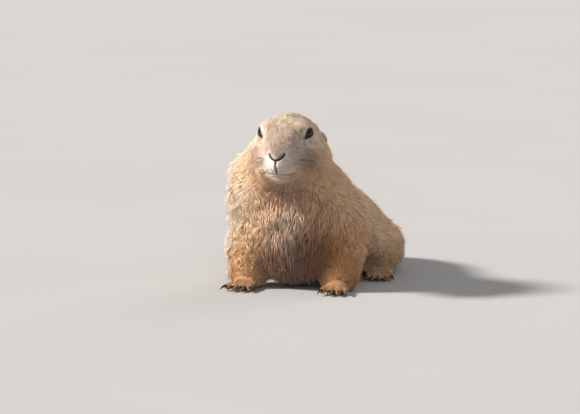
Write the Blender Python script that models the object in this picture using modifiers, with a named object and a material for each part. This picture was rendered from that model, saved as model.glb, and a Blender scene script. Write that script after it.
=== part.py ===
"""A life-size prairie dog, resting on its haunches with both forefeet on the ground.

The animal faces -Y with its left side at +X and the ground at z = 0. The body is modelled whole,
from lofts and balls that a voxel remesh fuses and smooths, and is then parted with thin cuts.
Sizes and tables of stations are in millimetres, and the functions that read them work in metres.
"""

import math
import random

import bmesh
import bpy
import numpy as np
from mathutils import Matrix, Vector

MM = 0.001
SEAM = 0.3 * MM  # gap between two nodes that touch

# Driving sizes of the head, measured before it is shifted and turned
CROWN_Z = 144.0
EYE_X, EYE_Y, EYE_Z = 16.0, -25.5, 129.3
EYE_RADIUS = 6.3
EYE_SIDEWAYS, EYE_UPWARD = 60.0, 8.0  # degrees from straight ahead to the way an eye looks
EYE_OPENING = (5.0, 3.7)  # half length and half height of the gap between the lids
LID_THICKNESS = 0.9
NOSE_Y, NOSE_Z = -58.5, 114.5
MOUTH_Z = 101.0
LIP_RADIUS = 3.0
NOSE_PAD = (5.4, 4.5, 4.4)
EAR_PLACE, EAR_SINK = (25.5, 3.0, 122.0), 2.5  # near its root, and how deep its middle is
EAR_TURN, EAR_LEAN = 58.0, 14.0  # degrees from facing ahead, and outwards and back from upright
EAR_WIDTH, EAR_HEIGHT, EAR_THICKNESS, EAR_RIM = 13.0, 14.5, 4.0, 1.5
EAR_HOLLOW = (5.8, 5.8, 6.8)  # the dip in the fur that the ear stands in
HEAD_TURN = 2.3  # degrees towards the animal's left
HEAD_SHIFT = -3.3  # how far the head lies to the animal's right of the chest

# Driving sizes of the limbs and tail
FORE_X = 37.5  # half the distance between the forelegs
FORE_PAW = (38.0, -13.0, -0.9)
HIND_X = 46.0  # half the distance between the hind feet, either side of the hips' middle
HIP_SHIFT = 8.0  # how far the hips lie to the animal's left of the chest
HIND_PAW = (48.0, 62.0, -0.9)
TAIL_LOCKS, LOCK_LENGTH, LOCK_WIDTH, LOCK_THICKNESS, LOCK_BEND = 30, 34.0, 7.6, 2.4, 1.6

TRUNK_VOXEL, BODY_VOXEL, PAW_VOXEL = 2.0 * MM, 1.3 * MM, 0.7 * MM
TRUNK_FACES, BODY_FACES, PAW_FACES = 40000, 3900, 360
FACE_BOX = ((-40, -90, 88), (40, -12, 150))  # where the triangles stay small
FACE_WEIGHT, FACE_FACTOR = 0.3, 0.0002

# Where the body is parted: a point on each plane with the way it faces, and an ellipsoid's
# middle and radii round each limb of the animal's left
HEAD_CUT = ((0, 22, 120), (0, -0.654, 0.757))
NECK_CUT = ((0, 48, 102), (0, -0.468, 0.884))
HIPS_CUT = ((0, 76, 40), (0, 1, -0.2))
FORELEG_REGION = ((50, 2, 24), (35, 35, 55))
THIGH_REGION = ((60, 102, 24), (36, 50, 38))

# Stations down the spine: middle x, y, z, half width, half depth, and how much narrower
# the back is than the belly
TRUNK = (
    (-6, -4, 120, 28, 22, 0.0),
    (-6.5, 2, 107, 36.5, 28, 0.0),
    (-8, 6, 94, 46, 32, 0.0),
    (-8, 14, 79, 52, 37, 0.1),
    (-4, 30, 61, 52.5, 43, 0.2),
    (1, 54, 49, 48.5, 44, 0.27),
    (5, 82, 41.5, 46, 41, 0.32),
    (HIP_SHIFT, 110, 35, 46.5, 36.5, 0.36),
    (HIP_SHIFT, 136, 26, 42, 28, 0.3),
    (HIP_SHIFT, 155, 17, 29, 19, 0.15),
    (HIP_SHIFT, 167, 11, 14, 11, 0.0),
)

# Stations from the brow back to the nape, and from the nose back to the brow: middle x, y, z,
# half width, half depth, and how much narrower the top is than the bottom
SKULL = (
    (0, -36, 113, 16, 18, 0.0),
    (0, -28, 115, 21.5, 25, 0.06),
    (0, -18, CROWN_Z - 28, 26.5, 28.5, 0.08),
    (0, -6, CROWN_Z - 28, 28, 28.5, 0.08),
    (0, 6, 112, 29, 27, 0.1),
    (0, 17, 106, 29, 24, 0.05),
    (0, 28, 98, 28, 19, 0.0),
)
MUZZLE = (
    (0, NOSE_Y, NOSE_Z - 2.5, 5, 5),
    (0, NOSE_Y + 2, NOSE_Z - 3.5, 9, 9),
    (0, NOSE_Y + 7, 110.2, 12.5, 14),
    (0, NOSE_Y + 14, 110.5, 16, 18),
    (0, -37, 112, 19, 21.5),
    (0, -28, 113.5, 19.5, 24),
    (0, -18, 114, 17, 24),
)

LOWER_LIP = (
    (-13, NOSE_Y + 20, MOUTH_Z - 2.5),
    (-8, NOSE_Y + 13, MOUTH_Z - 4.5),
    (0, NOSE_Y + 8.5, MOUTH_Z - 3.5),
    (8, NOSE_Y + 13, MOUTH_Z - 4.5),
    (13, NOSE_Y + 20, MOUTH_Z - 2.5),
)

# Stations down a foreleg and along a haunch, on the animal's left
FORELEG = (
    (FORE_X - 3, 16, 78, 16, 17),
    (FORE_X - 1, 14, 62, 21, 20),
    (FORE_X, 9, 44, 21, 19.5),
    (FORE_X, 2, 28, 20.5, 18),
    (FORE_X, -3, 13, 18, 15.5),
    (FORE_X, -5, -3, 13, 12.5),
)
HAUNCH = (
    (HIND_X - 23, 137, 18, 11, 13),
    (HIND_X - 13, 122, 19.5, 16.5, 18.5),
    (HIND_X - 7, 102, 20.5, 20, 22),
    (HIND_X - 7, 78, 20, 19, 20),
    (HIND_X - 9, 62, 18, 15, 16),
)

# Stations of the tail's core, of a forepaw's palm and of a hind foot's sole
TAIL = (
    (HIP_SHIFT, 146, 15, 10, 10),
    (HIP_SHIFT - 1, 162, 11, 8.5, 8),
    (HIP_SHIFT - 3, 180, 8.5, 7, 6),
    (HIP_SHIFT - 6, 200, 7, 5.8, 5),
    (HIP_SHIFT - 9, 214, 6.5, 4.5, 4),
    (HIP_SHIFT - 11, 223, 6, 2.5, 2.2),
)
PALM = (
    (0, 13, 9, 7, 6),
    (0, 6, 7.5, 8.5, 6.5),
    (0, -3, 6, 9, 5.5),
    (0, -10, 5, 8.5, 4.6),
    (0, -14, 4.5, 6.5, 3.6),
)
SOLE = (
    (0, 38, 5.5, 5.5, 4.5),
    (0, 28, 6, 7, 5.8),
    (0, 12, 6, 8, 5.8),
    (0, -2, 5.5, 9, 5),
    (0, -8, 4.8, 7.5, 4),
)


# Colour and roughness of each node, the same on the left and right
LOOKS = {
    "head": ((0.50, 0.38, 0.25), 0.85),
    "nose": ((0.16, 0.12, 0.10), 0.5),
    "ear": ((0.40, 0.28, 0.17), 0.85),
    "eye": ((0.012, 0.009, 0.008), 0.08),
    "neck": ((0.50, 0.35, 0.20), 0.85),
    "chest": ((0.46, 0.33, 0.20), 0.85),
    "hips": ((0.48, 0.34, 0.20), 0.85),
    "foreleg": ((0.55, 0.37, 0.18), 0.85),
    "forepaw": ((0.40, 0.28, 0.17), 0.75),
    "thigh": ((0.50, 0.35, 0.20), 0.85),
    "hind_foot": ((0.42, 0.30, 0.18), 0.75),
    "tail": ((0.30, 0.20, 0.12), 0.85),
}


def clear_scene():
    """Removes every object, so that the script can be run again from the text editor."""
    for old in list(bpy.data.objects):
        bpy.data.objects.remove(old)


def new_object(name, mesh):
    """An object in the scene's own collection that holds this mesh."""
    made = bpy.data.objects.new(name, mesh)
    bpy.context.scene.collection.objects.link(made)
    return made


def object_from(name, bm):
    """Turns a bmesh into an object with its faces pointing out."""
    bmesh.ops.recalc_face_normals(bm, faces=bm.faces)
    mesh = bpy.data.meshes.new(name)
    bm.to_mesh(mesh)
    bm.free()
    return new_object(name, mesh)


def smooth_path(stations, count):
    """Catmull-Rom samples through rows of numbers, evenly spaced from the first row to the last."""
    rows = np.array(stations, float)
    rows = np.vstack([2 * rows[0] - rows[1], rows, 2 * rows[-1] - rows[-2]])
    samples = []
    for place in np.linspace(0, len(stations) - 1, count):
        start = min(int(place), len(stations) - 2)
        t = place - start
        a, b, c, d = rows[start : start + 4]
        bend = (2 * a - 5 * b + 4 * c - d) * t**2 + (3 * b - a - 3 * c + d) * t**3
        samples.append(0.5 * (2 * b + (c - a) * t + bend))
    return np.array(samples)


def loft(name, stations, rings=24, sides=28, side_way=(1, 0, 0)):
    """A closed tube of oval sections through stations of x, y, z, half width and half depth.

    A sixth number narrows the upper half of the section and widens the lower half. The width is
    measured along side_way and the depth across it.
    """
    rows = smooth_path(stations, rings)
    along = np.gradient(rows[:, :3], axis=0)
    side_way = Vector(side_way)
    bm = bmesh.new()
    loops = []
    for row, heading in zip(rows, along):
        pear = row[5] if len(row) > 5 else 0.0
        heading = Vector(heading).normalized()
        across = (side_way - heading * heading.dot(side_way)).normalized()
        upward = across.cross(heading)
        loop = []
        for k in range(sides):
            angle = 2 * math.pi * k / sides
            side = row[3] * math.cos(angle) * (1 - pear * math.sin(angle))
            place = Vector(row[:3]) + across * side + upward * row[4] * math.sin(angle)
            loop.append(bm.verts.new(place * MM))
        loops.append(loop)
    for near, far in zip(loops, loops[1:]):
        for k in range(sides):
            bm.faces.new((near[k], near[k - 1], far[k - 1], far[k]))
    bm.faces.new(loops[0])
    bm.faces.new(loops[-1])
    return object_from(name, bm)


def ball(name, centre, radii, segments=32, rings=20):
    """An ellipsoid with its centre and radii in millimetres."""
    bm = bmesh.new()
    bmesh.ops.create_uvsphere(bm, u_segments=segments, v_segments=rings, radius=MM)
    made = object_from(name, bm)
    place = Matrix.Translation(Vector(centre) * MM)
    made.data.transform(place @ Matrix.Diagonal((*radii, 1)))
    return made


def block(name, low, high):
    """A box between two corners, in metres."""
    bm = bmesh.new()
    bmesh.ops.create_cube(bm, size=1)
    made = object_from(name, bm)
    low, high = Vector(low), Vector(high)
    size = high - low
    made.data.transform(Matrix.Translation((low + high) / 2) @ Matrix.Diagonal((*size, 1)))
    return made


def tube(name, path, radii, resolution=2, closed=False):
    """A round tube through points in millimetres, with a radius at each point."""
    curve = bpy.data.curves.new(name, "CURVE")
    curve.dimensions = "3D"
    curve.bevel_depth = MM
    curve.bevel_resolution = resolution
    curve.use_fill_caps = not closed
    spline = curve.splines.new("POLY")
    spline.points.add(len(path) - 1)
    spline.use_cyclic_u = closed
    for point, place, radius in zip(spline.points, path, radii):
        point.co = (*(Vector(place) * MM), 1)
        point.radius = radius
    made = baked(new_object(name, curve))
    bm = bmesh.new()
    bm.from_mesh(made.data)
    bmesh.ops.remove_doubles(bm, verts=bm.verts, dist=1e-6)
    bmesh.ops.recalc_face_normals(bm, faces=bm.faces)
    bm.to_mesh(made.data)
    bm.free()
    return made


def baked(obj):
    """The object as its modifiers leave it, as a plain mesh object with the same name."""
    bpy.context.view_layer.update()
    graph = bpy.context.evaluated_depsgraph_get()
    mesh = bpy.data.meshes.new_from_object(obj.evaluated_get(graph))
    mesh.transform(obj.matrix_world)
    name = obj.name
    bpy.data.objects.remove(obj)
    mesh.name = name
    return new_object(name, mesh)


def copy_of(obj, name):
    """A second object with its own copy of the mesh."""
    return new_object(name, obj.data.copy())


def mirrored(obj, name, middle=0.0):
    """A copy on the other side of the plane where x is middle, in millimetres."""
    made = copy_of(obj, name)
    flip = Matrix.Translation((2 * middle * MM, 0, 0)) @ Matrix.Diagonal((-1, 1, 1, 1))
    made.data.transform(flip)
    made.data.flip_normals()
    return made


def moved(obj, matrix):
    """Bakes a matrix into the object's mesh and returns the object."""
    obj.data.transform(matrix)
    return obj


def grown(obj, distance=SEAM):
    """A copy whose surface lies this far outside the object's."""
    made = copy_of(obj, obj.name + "_grown")
    swell = made.modifiers.new("swell", "DISPLACE")
    swell.mid_level = 0.0
    swell.strength = distance
    return baked(made)


def fuse(name, pieces, voxel, passes, faces, fine_box=None):
    """Melts overlapping pieces into one smooth skin with about this many triangles.

    Inside fine_box, two corners in millimetres, the triangles stay smaller.
    """
    bm = bmesh.new()
    for piece in pieces:
        bm.from_mesh(piece.data)
        bpy.data.objects.remove(piece)
    mesh = bpy.data.meshes.new(name)
    bm.to_mesh(mesh)
    bm.free()
    whole = new_object(name, mesh)
    melt = whole.modifiers.new("melt", "REMESH")
    melt.mode = "VOXEL"
    melt.voxel_size = voxel
    soften = whole.modifiers.new("soften", "SMOOTH")
    soften.factor = 0.5
    soften.iterations = passes
    whole = baked(whole)
    count = sum(len(face.vertices) - 2 for face in whole.data.polygons)
    thin = whole.modifiers.new("thin", "DECIMATE")
    thin.ratio = faces / count
    thin.use_collapse_triangulate = True
    if fine_box:
        low, high = (Vector(corner) * MM for corner in fine_box)
        coarse = whole.vertex_groups.new(name="coarse")
        for vertex in whole.data.vertices:
            fine = all(a < c < b for a, c, b in zip(low, vertex.co, high))
            coarse.add([vertex.index], FACE_WEIGHT if fine else 1.0, "REPLACE")
        thin.vertex_group = "coarse"
        thin.vertex_group_factor = FACE_FACTOR
    return largest(baked(whole))


def combine(body, tool, operation):
    """Applies one Boolean to body, removes the tool and keeps the largest closed surface."""
    step = body.modifiers.new("combine", "BOOLEAN")
    step.operation = operation
    step.solver = "MANIFOLD"
    step.object = tool
    made = baked(body)
    bpy.data.objects.remove(tool)
    return largest(made)


def union_of(body, pieces):
    """Joins many closed pieces to body with one Boolean on a collection."""
    group = bpy.data.collections.new("union_pieces")
    for piece in pieces:
        group.objects.link(piece)
    step = body.modifiers.new("union", "BOOLEAN")
    step.operation = "UNION"
    step.operand_type = "COLLECTION"
    step.collection = group
    step.solver = "MANIFOLD"
    made = baked(body)
    for piece in list(group.objects):
        bpy.data.objects.remove(piece)
    bpy.data.collections.remove(group)
    return largest(made)


def largest(obj):
    """Keeps only the biggest of the closed surfaces in a mesh, by the box that holds it."""
    bm = bmesh.new()
    bm.from_mesh(obj.data)
    left, groups = set(bm.verts), []
    while left:
        found = {left.pop()}
        edge = list(found)
        while edge:
            for link in edge.pop().link_edges:
                fresh = set(link.verts) - found
                found |= fresh
                edge.extend(fresh)
        left -= found
        groups.append(found)

    def reach(group):
        places = np.array([vertex.co for vertex in group])
        return np.ptp(places, axis=0).prod()

    keep = max(groups, key=reach)
    bmesh.ops.delete(bm, geom=[v for v in bm.verts if v not in keep], context="VERTS")
    bm.to_mesh(obj.data)
    bm.free()
    return obj


def part_by_plane(body, name, point, normal):
    """Splits body at a plane: the side its normal points to becomes a node. Millimetres."""
    piece = combine(copy_of(body, name), half_space(point, normal), "INTERSECT")
    return piece, combine(body, half_space(point, normal, -SEAM), "DIFFERENCE")


def part_by_ball(body, name, centre, radii):
    """Splits body at an ellipsoid: what lies inside becomes a node, with a thin gap to the rest."""
    piece = combine(copy_of(body, name), ball("region", centre, radii, 16, 10), "INTERSECT")
    wider = [radius + SEAM / MM for radius in radii]
    return piece, combine(body, ball("region", centre, wider, 16, 10), "DIFFERENCE")


def on_side(region, side, middle):
    """A region's middle and radii on the animal's left (side 1) or right (-1) of x = middle."""
    (x, y, z), radii = region
    return (middle + side * x, y, z), radii


def half_space(point, normal, offset=0.0, reach=0.7):
    """A big box on the side of a plane that its normal points to. Point in millimetres."""
    normal = Vector(normal).normalized()
    made = block("half_space", (-reach / 2, -reach / 2, 0), (reach / 2, reach / 2, reach))
    turn = Vector((0, 0, 1)).rotation_difference(normal).to_matrix().to_4x4()
    start = Vector(point) * MM + normal * offset
    return moved(made, Matrix.Translation(start) @ turn)


def head_place():
    """Where the head and all on it go: a small shift and a turn about the neck."""
    return Matrix.Translation((HEAD_SHIFT * MM, 0, 0)) @ Matrix.Rotation(
        math.radians(HEAD_TURN), 4, "Z"
    )


def head_forms():
    """The muzzle, brows, whisker pads and chin, as overlapping pieces."""
    pieces = [
        loft("muzzle", MUZZLE, rings=36, sides=32),
        ball("nose_bulb", (0, NOSE_Y + 3.5, NOSE_Z - 1.5), (6.2, 5, 4.8)),
        ball("chin", (0, NOSE_Y + 15, 97.5), (9.5, 9.5, 7)),
        tube("lower_lip", smooth_path(LOWER_LIP, 16), [LIP_RADIUS] * 16),
    ]
    for side in (-1, 1):
        pieces += [
            ball("brow", (side * 13, -21, 133.5), (9.3, 14, 6.5)),
            ball("whisker_pad", (side * 6.6, NOSE_Y + 13.2, 105.8), (8.2, 9.5, 7.8)),
        ]
    return [moved(piece, head_place()) for piece in pieces]


def body_forms():
    """The skull, trunk, breast, forelegs and haunches, as overlapping pieces."""
    foreleg, haunch = loft("foreleg", FORELEG), loft("haunch", HAUNCH)
    moved(haunch, Matrix.Translation((HIP_SHIFT * MM, 0, 0)))
    head = [
        loft("skull", SKULL, rings=40, sides=36),
        loft("muzzle", MUZZLE, rings=36, sides=32),
        ball("throat", (0, -20, 96), (25, 24, 15)),
    ]
    for side in (-1, 1):
        head.append(ball("cheek", (side * 16.5, -10, 106), (19, 24, 19)))
        head.append(ball("jowl", (side * 12, -29, 105), (13.5, 18, 14)))
    return [
        loft("trunk", TRUNK, rings=48, sides=40),
        ball("breast", (-2, 4, 48), (37, 30, 46)),
        ball("belly", (1, 44, 34), (40, 50, 33.5)),
        ball("nape", (-4, 22, 93), (30, 26, 23)),
        foreleg,
        mirrored(foreleg, "foreleg_right"),
        haunch,
        mirrored(haunch, "haunch_right", HIP_SHIFT),
        *[moved(piece, head_place()) for piece in head],
    ]


def eye_axes(side):
    """An eye's centre in millimetres, and unit vectors along its gaze, forwards and upwards."""
    sideways, upward = math.radians(EYE_SIDEWAYS), math.radians(EYE_UPWARD)
    gaze = Vector((side * math.sin(sideways), -math.cos(sideways), math.tan(upward))).normalized()
    forwards = Vector((0, -1, -0.25))
    forwards = (forwards - gaze * gaze.dot(forwards)).normalized()
    above = gaze.cross(forwards) * (1 if gaze.cross(forwards).z > 0 else -1)
    return Vector((side * EYE_X, EYE_Y, EYE_Z)), gaze, forwards, above


def eye_opening(head, side):
    """Gives the head its lids: a ball over the eye, a socket in it and an oval gap with a rim."""
    centre, gaze, forwards, above = eye_axes(side)
    length, height = EYE_OPENING
    place = head_place()
    cover = EYE_RADIUS + SEAM / MM + LID_THICKNESS
    path = []
    for k in range(18):
        turn = 2 * math.pi * k / 18
        across = forwards * length * math.cos(turn) + above * height * math.sin(turn)
        reach = (cover - 0.5) ** 2 - across.length_squared
        path.append(centre + across + gaze * math.sqrt(reach))
    head = union_of(head, [moved(ball("lids", centre, [cover] * 3, 24, 14), place)])
    bore = [(*(centre + gaze * along), length, height) for along in (1, 12)]
    gap = loft("gap", bore, rings=2, sides=18, side_way=forwards)
    head = combine(head, moved(gap, place), "DIFFERENCE")
    rim = tube("rim", path, [0.75] * 18, resolution=1, closed=True)
    head = union_of(head, [moved(rim, place)])
    socket = ball("socket", centre, [EYE_RADIUS + SEAM / MM] * 3, 24, 16)
    return combine(head, moved(socket, place), "DIFFERENCE")


def on_surface(obj, point, outward=0.0):
    """The nearest point of an object's surface, in millimetres, moved out along its normal."""
    _, place, normal, _ = obj.closest_point_on_mesh(Vector(point) * MM)
    return place / MM + normal * outward


def groove(body, name, points, width):
    """A tube along the surface of body through these points, to cut a line into it."""
    path = [on_surface(body, point, 0.1) for point in smooth_path(points, 14)]
    radii = [width / 2 * (0.35 + 0.65 * math.sin(math.pi * (k + 1) / 15) ** 0.5) for k in range(14)]
    return tube(name, path, radii, resolution=1)


def face_lines(head):
    """Cuts the line of the mouth, the cleft of the upper lip and the nostrils."""
    mouth = [
        (-12, NOSE_Y + 17, MOUTH_Z + 0.5),
        (-9, NOSE_Y + 12, MOUTH_Z - 1.7),
        (-4.5, NOSE_Y + 6, MOUTH_Z - 1.5),
        (0, NOSE_Y + 4, MOUTH_Z + 0.5),
        (4.5, NOSE_Y + 6, MOUTH_Z - 1.5),
        (9, NOSE_Y + 12, MOUTH_Z - 1.7),
        (12, NOSE_Y + 17, MOUTH_Z + 0.5),
    ]
    cleft = [(0, NOSE_Y - 1, NOSE_Z - 4), (0, NOSE_Y, NOSE_Z - 7), (0, NOSE_Y + 3, MOUTH_Z + 0.5)]
    lines = [(mouth, 1.7), (cleft, 1.5)]
    for side in (-1, 1):
        nostril = [
            (side * 1.3, NOSE_Y - 0.5, NOSE_Z - 2.4),
            (side * 3.4, NOSE_Y + 0.3, NOSE_Z - 1.0),
            (side * 5.0, NOSE_Y + 2.4, NOSE_Z + 0.8),
        ]
        lines.append((nostril, 2.2))
    place = head_place()
    for points, width in lines:
        points = [place @ (Vector(point) * MM) / MM for point in points]
        head = combine(head, groove(head, "line", points, width), "DIFFERENCE")
    return head


def ear_root(side, head):
    """Where an ear's middle meets the head, in millimetres, and the way out from it."""
    near = head_place() @ (Vector((side * EAR_PLACE[0], *EAR_PLACE[1:])) * MM) / MM
    root = on_surface(head, near)
    return root, (on_surface(head, near, 1.0) - root).normalized()


def ear(side, head):
    """A low rounded ear with a hollow cup, standing in a dip of the head. Returns the head."""
    half_width, half_depth, half_height = EAR_WIDTH / 2, EAR_THICKNESS / 2, EAR_HEIGHT / 2
    shell = ball("shell", (0, 0, 0), (half_width, half_depth, half_height), 14, 8)
    cup_radii = (half_width - EAR_RIM, half_depth + 0.3, half_height - EAR_RIM)
    cup = ball("cup", (-0.4 * side, -half_depth - 0.5, 0), cup_radii, 12, 7)
    made = combine(shell, cup, "DIFFERENCE")
    turn = Matrix.Rotation(math.radians(side * EAR_TURN), 4, "Z")
    turn = turn @ Matrix.Rotation(math.radians(-side * EAR_LEAN), 4, "Y")
    turn = turn @ Matrix.Rotation(math.radians(-EAR_LEAN), 4, "X")
    root, outward = ear_root(side, head)
    place = Matrix.Translation((root - outward * EAR_SINK) * MM)
    moved(made, place @ head_place().to_3x3().to_4x4() @ turn)
    head = combine(head, ball("dip", root + outward, EAR_HOLLOW, 14, 8), "DIFFERENCE")
    made = combine(made, grown(head), "DIFFERENCE")
    rename(made, "ear_left" if side > 0 else "ear_right")
    return head


def lock(root, tip, outward, width, thickness):
    """A flat tapered lock of hair from root to tip, bent outwards in its middle. Millimetres."""
    root, tip, outward = Vector(root), Vector(tip), Vector(outward).normalized()
    heading = (tip - root).normalized()
    across = heading.cross(outward).normalized()
    bm = bmesh.new()
    loops = []
    for share, full in ((0.0, 0.7), (0.35, 1.0), (0.7, 0.62)):
        middle = root.lerp(tip, share) + outward * (LOCK_BEND * math.sin(math.pi * share))
        wide, thick = across * (width / 2 * full), outward * (thickness / 2 * full)
        corners = (middle + wide, middle + thick, middle - wide, middle - thick)
        loops.append([bm.verts.new(corner * MM) for corner in corners])
    point = bm.verts.new(tip * MM)
    for near, far in zip(loops, loops[1:]):
        for k in range(4):
            bm.faces.new((near[k], near[k - 1], far[k - 1], far[k]))
    for k in range(4):
        bm.faces.new((loops[-1][k], loops[-1][k - 1], point))
    bm.faces.new(loops[0])
    return object_from("lock", bm)


def tail(body):
    """The tail lying on the ground: a slim core under overlapping locks, down to a brush."""
    random.seed(7)
    core = loft("tail", TAIL, rings=20, sides=14)
    path = smooth_path(TAIL, 200)
    locks = []
    for k in range(TAIL_LOCKS):
        share = 0.2 + 0.78 * (k + 0.5) / TAIL_LOCKS
        row = path[int(share * 199)]
        after = path[min(199, int(share * 199) + 3)]
        heading = Vector(after[:3] - row[:3]) if share < 0.98 else Vector(row[:3] - path[190][:3])
        heading.normalize()
        across = heading.cross((0, 0, 1)).normalized()
        upward = across.cross(heading)
        turn = math.radians(137.5) * k
        outward = across * math.cos(turn) + upward * math.sin(turn)
        if outward.z < -0.25:
            outward = Vector((outward.x, outward.y, -0.25)).normalized()
        root = Vector(row[:3]) + outward * (row[3] - 2.2)
        length = LOCK_LENGTH * random.uniform(0.85, 1.15)
        tip = root + heading * length * 0.96 + outward * length * 0.2
        tip.z = max(tip.z, 0.8)
        locks.append(lock(root, tip, outward, LOCK_WIDTH, LOCK_THICKNESS))
    made = union_of(core, locks)
    made = combine(made, half_space((0, 0, 0), (0, 0, 1)), "INTERSECT")
    return combine(made, grown(body), "DIFFERENCE")


def digit(root, angle, length, radius, claw):
    """A toe with a raised knuckle, and the tapered claw at its end. Angle in degrees."""
    turn = math.radians(angle)
    ahead = Vector((-math.sin(turn), -math.cos(turn), 0))
    root = Vector(root)
    tops = ((0.0, 0.0, 1.0), (0.45, 1.3, 0.98), (0.8, -0.2, 0.9), (1.0, -1.2, 0.62))
    rows = [(*(root + ahead * length * along + Vector((0, 0, lift))), radius * full, radius * full)
            for along, lift, full in tops]
    toe = loft("toe", rows, rings=10, sides=14, side_way=ahead.cross((0, 0, 1)))
    tip = root + ahead * length * 0.9
    path, radii = [], []
    for k in range(5):
        share = k / 4
        drop = Vector((0, 0, 0.2 + 0.9 * math.sin(math.pi * share * 0.9) - 2.2 * share**2))
        path.append(tip + ahead * claw * share + drop)
        radii.append(1.35 * (1 - share) ** 0.75 + 0.28)
    return toe, tube("claw", path, radii, resolution=1)


def paw(name, sole, digits, place, turn, body):
    """A foot of a palm and toes melted together, with its claws, cut to meet the leg."""
    toes, claws = [], []
    for root, angle, length, radius, claw in digits:
        made = digit(root, angle, length, radius, claw)
        toes.append(made[0])
        claws.append(made[1])
    made = fuse(name, [loft("sole", sole, rings=18, sides=20), *toes], PAW_VOXEL, 5, PAW_FACES)
    made = union_of(made, claws)
    spin = Matrix.Rotation(math.radians(turn), 4, "Z")
    moved(made, Matrix.Translation(Vector(place) * MM) @ spin)
    made = combine(made, grown(body), "DIFFERENCE")
    made = combine(made, half_space((0, 0, 0), (0, 0, 1)), "INTERSECT")
    return rename(made, name)


def forepaw_digits():
    """Root, angle, length, radius and claw length of a left forepaw's four toes and its thumb."""
    digits = []
    for k, angle in enumerate((-20, -7, 6, 20)):
        length = (10.5, 13, 13, 10.5)[k]
        digits.append(((6.6 - 4.4 * k, -10, 4.2), angle, length, 2.7, 8.5))
    digits.append(((-7, -4, 4.5), 32, 6.5, 2.2, 4.0))
    return digits


def hind_digits():
    """Root, angle, length, radius and claw length of a left hind foot's five toes."""
    digits = []
    for k, angle in enumerate((-24, -10, 0, 10, 24)):
        length = (9, 12, 13, 12, 9)[k]
        digits.append(((7 - 3.5 * k, -4, 4), angle, length, 2.6, 6.0))
    return digits


def rename(obj, name):
    """Gives an object and its mesh their final name."""
    obj.name = name
    obj.data.name = name
    return obj


def material(name, colour, roughness):
    """A plain Principled material."""
    made = bpy.data.materials.new(name)
    made.use_nodes = True
    shader = made.node_tree.nodes["Principled BSDF"]
    shader.inputs["Base Color"].default_value = (*colour, 1)
    shader.inputs["Roughness"].default_value = roughness
    shader.inputs["Metallic"].default_value = 0.0
    return made


def finish(nodes):
    """Centres the animal over the origin, then gives each node its shading, material and place."""
    corners = np.array([vertex.co for node in nodes for vertex in node.data.vertices])
    low, high = corners.min(axis=0), corners.max(axis=0)
    shift = Matrix.Translation((-(low[0] + high[0]) / 2, -(low[1] + high[1]) / 2, -low[2]))
    group = bpy.data.collections.new("prairie_dog")
    bpy.context.scene.collection.children.link(group)
    for node in nodes:
        moved(node, shift)
        places = np.array([vertex.co for vertex in node.data.vertices])
        middle = Vector((places.min(axis=0) + places.max(axis=0)) / 2)
        moved(node, Matrix.Translation(-middle))
        node.location = middle
        node.data.shade_smooth()
        node.data.set_sharp_from_angle(angle=math.radians(40))
        word = node.name.replace("_left", "").replace("_right", "")
        colour, roughness = LOOKS[word]
        node.data.materials.clear()
        node.data.materials.append(material(node.name + "_surface", colour, roughness))
        for holder in list(node.users_collection):
            holder.objects.unlink(node)
        group.objects.link(node)


def main():
    clear_scene()
    trunk = fuse("trunk", body_forms(), TRUNK_VOXEL, 26, TRUNK_FACES)
    body = fuse("body", head_forms() + [trunk], BODY_VOXEL, 13, BODY_FACES, FACE_BOX)
    body = combine(body, half_space((0, 0, 0), (0, 0, 1)), "INTERSECT")

    for side, word in ((1, "left"), (-1, "right")):
        fore = Vector((side * FORE_PAW[0], *FORE_PAW[1:]))
        hind = Vector((HIP_SHIFT + side * HIND_PAW[0], *HIND_PAW[1:]))
        for name, sole, digits, place in (
            ("forepaw_", PALM, forepaw_digits(), fore),
            ("hind_foot_", SOLE, hind_digits(), hind),
        ):
            if side < 0:
                digits = [((-root[0], *root[1:]), -angle, *more) for root, angle, *more in digits]
            paw(name + word, sole, digits, place, side * 6, body)

    tail(body)
    head, body = part_by_plane(body, "head", *HEAD_CUT)
    body = part_by_plane(body, "neck", *NECK_CUT)[1]
    for side, word in ((1, "left"), (-1, "right")):
        body = part_by_ball(body, "foreleg_" + word, *on_side(FORELEG_REGION, side, 0))[1]
        body = part_by_ball(body, "thigh_" + word, *on_side(THIGH_REGION, side, HIP_SHIFT))[1]
    body = part_by_plane(body, "hips", *HIPS_CUT)[1]
    rename(body, "chest")

    for side in (1, -1):
        head = ear(side, head)
    for side, word in ((1, "left"), (-1, "right")):
        head = eye_opening(head, side)
        eye = ball("eye_" + word, eye_axes(side)[0], [EYE_RADIUS] * 3, 18, 10)
        moved(eye, head_place())
    head = face_lines(head)
    nose_place = head_place() @ Vector((0, NOSE_Y * MM, (NOSE_Z - 0.5) * MM)) / MM
    head = part_by_ball(head, "nose", nose_place, NOSE_PAD)[1]
    rename(head, "head")
    finish(list(bpy.context.scene.objects))


main()
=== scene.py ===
"""The looks of a life-size prairie dog: one skin, a coat of solid tufts, eyes, claws and whiskers.

Places and sizes are millimetres in the axes that the solids were drawn in, with the animal facing
-Y and its left side at +X. ORIGIN takes them to the frame's own axes, in metres.
"""

import math

import bmesh
import bpy
import numpy as np
from mathutils import Matrix, Vector
from mathutils.bvhtree import BVHTree
from mathutils.kdtree import KDTree


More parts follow.
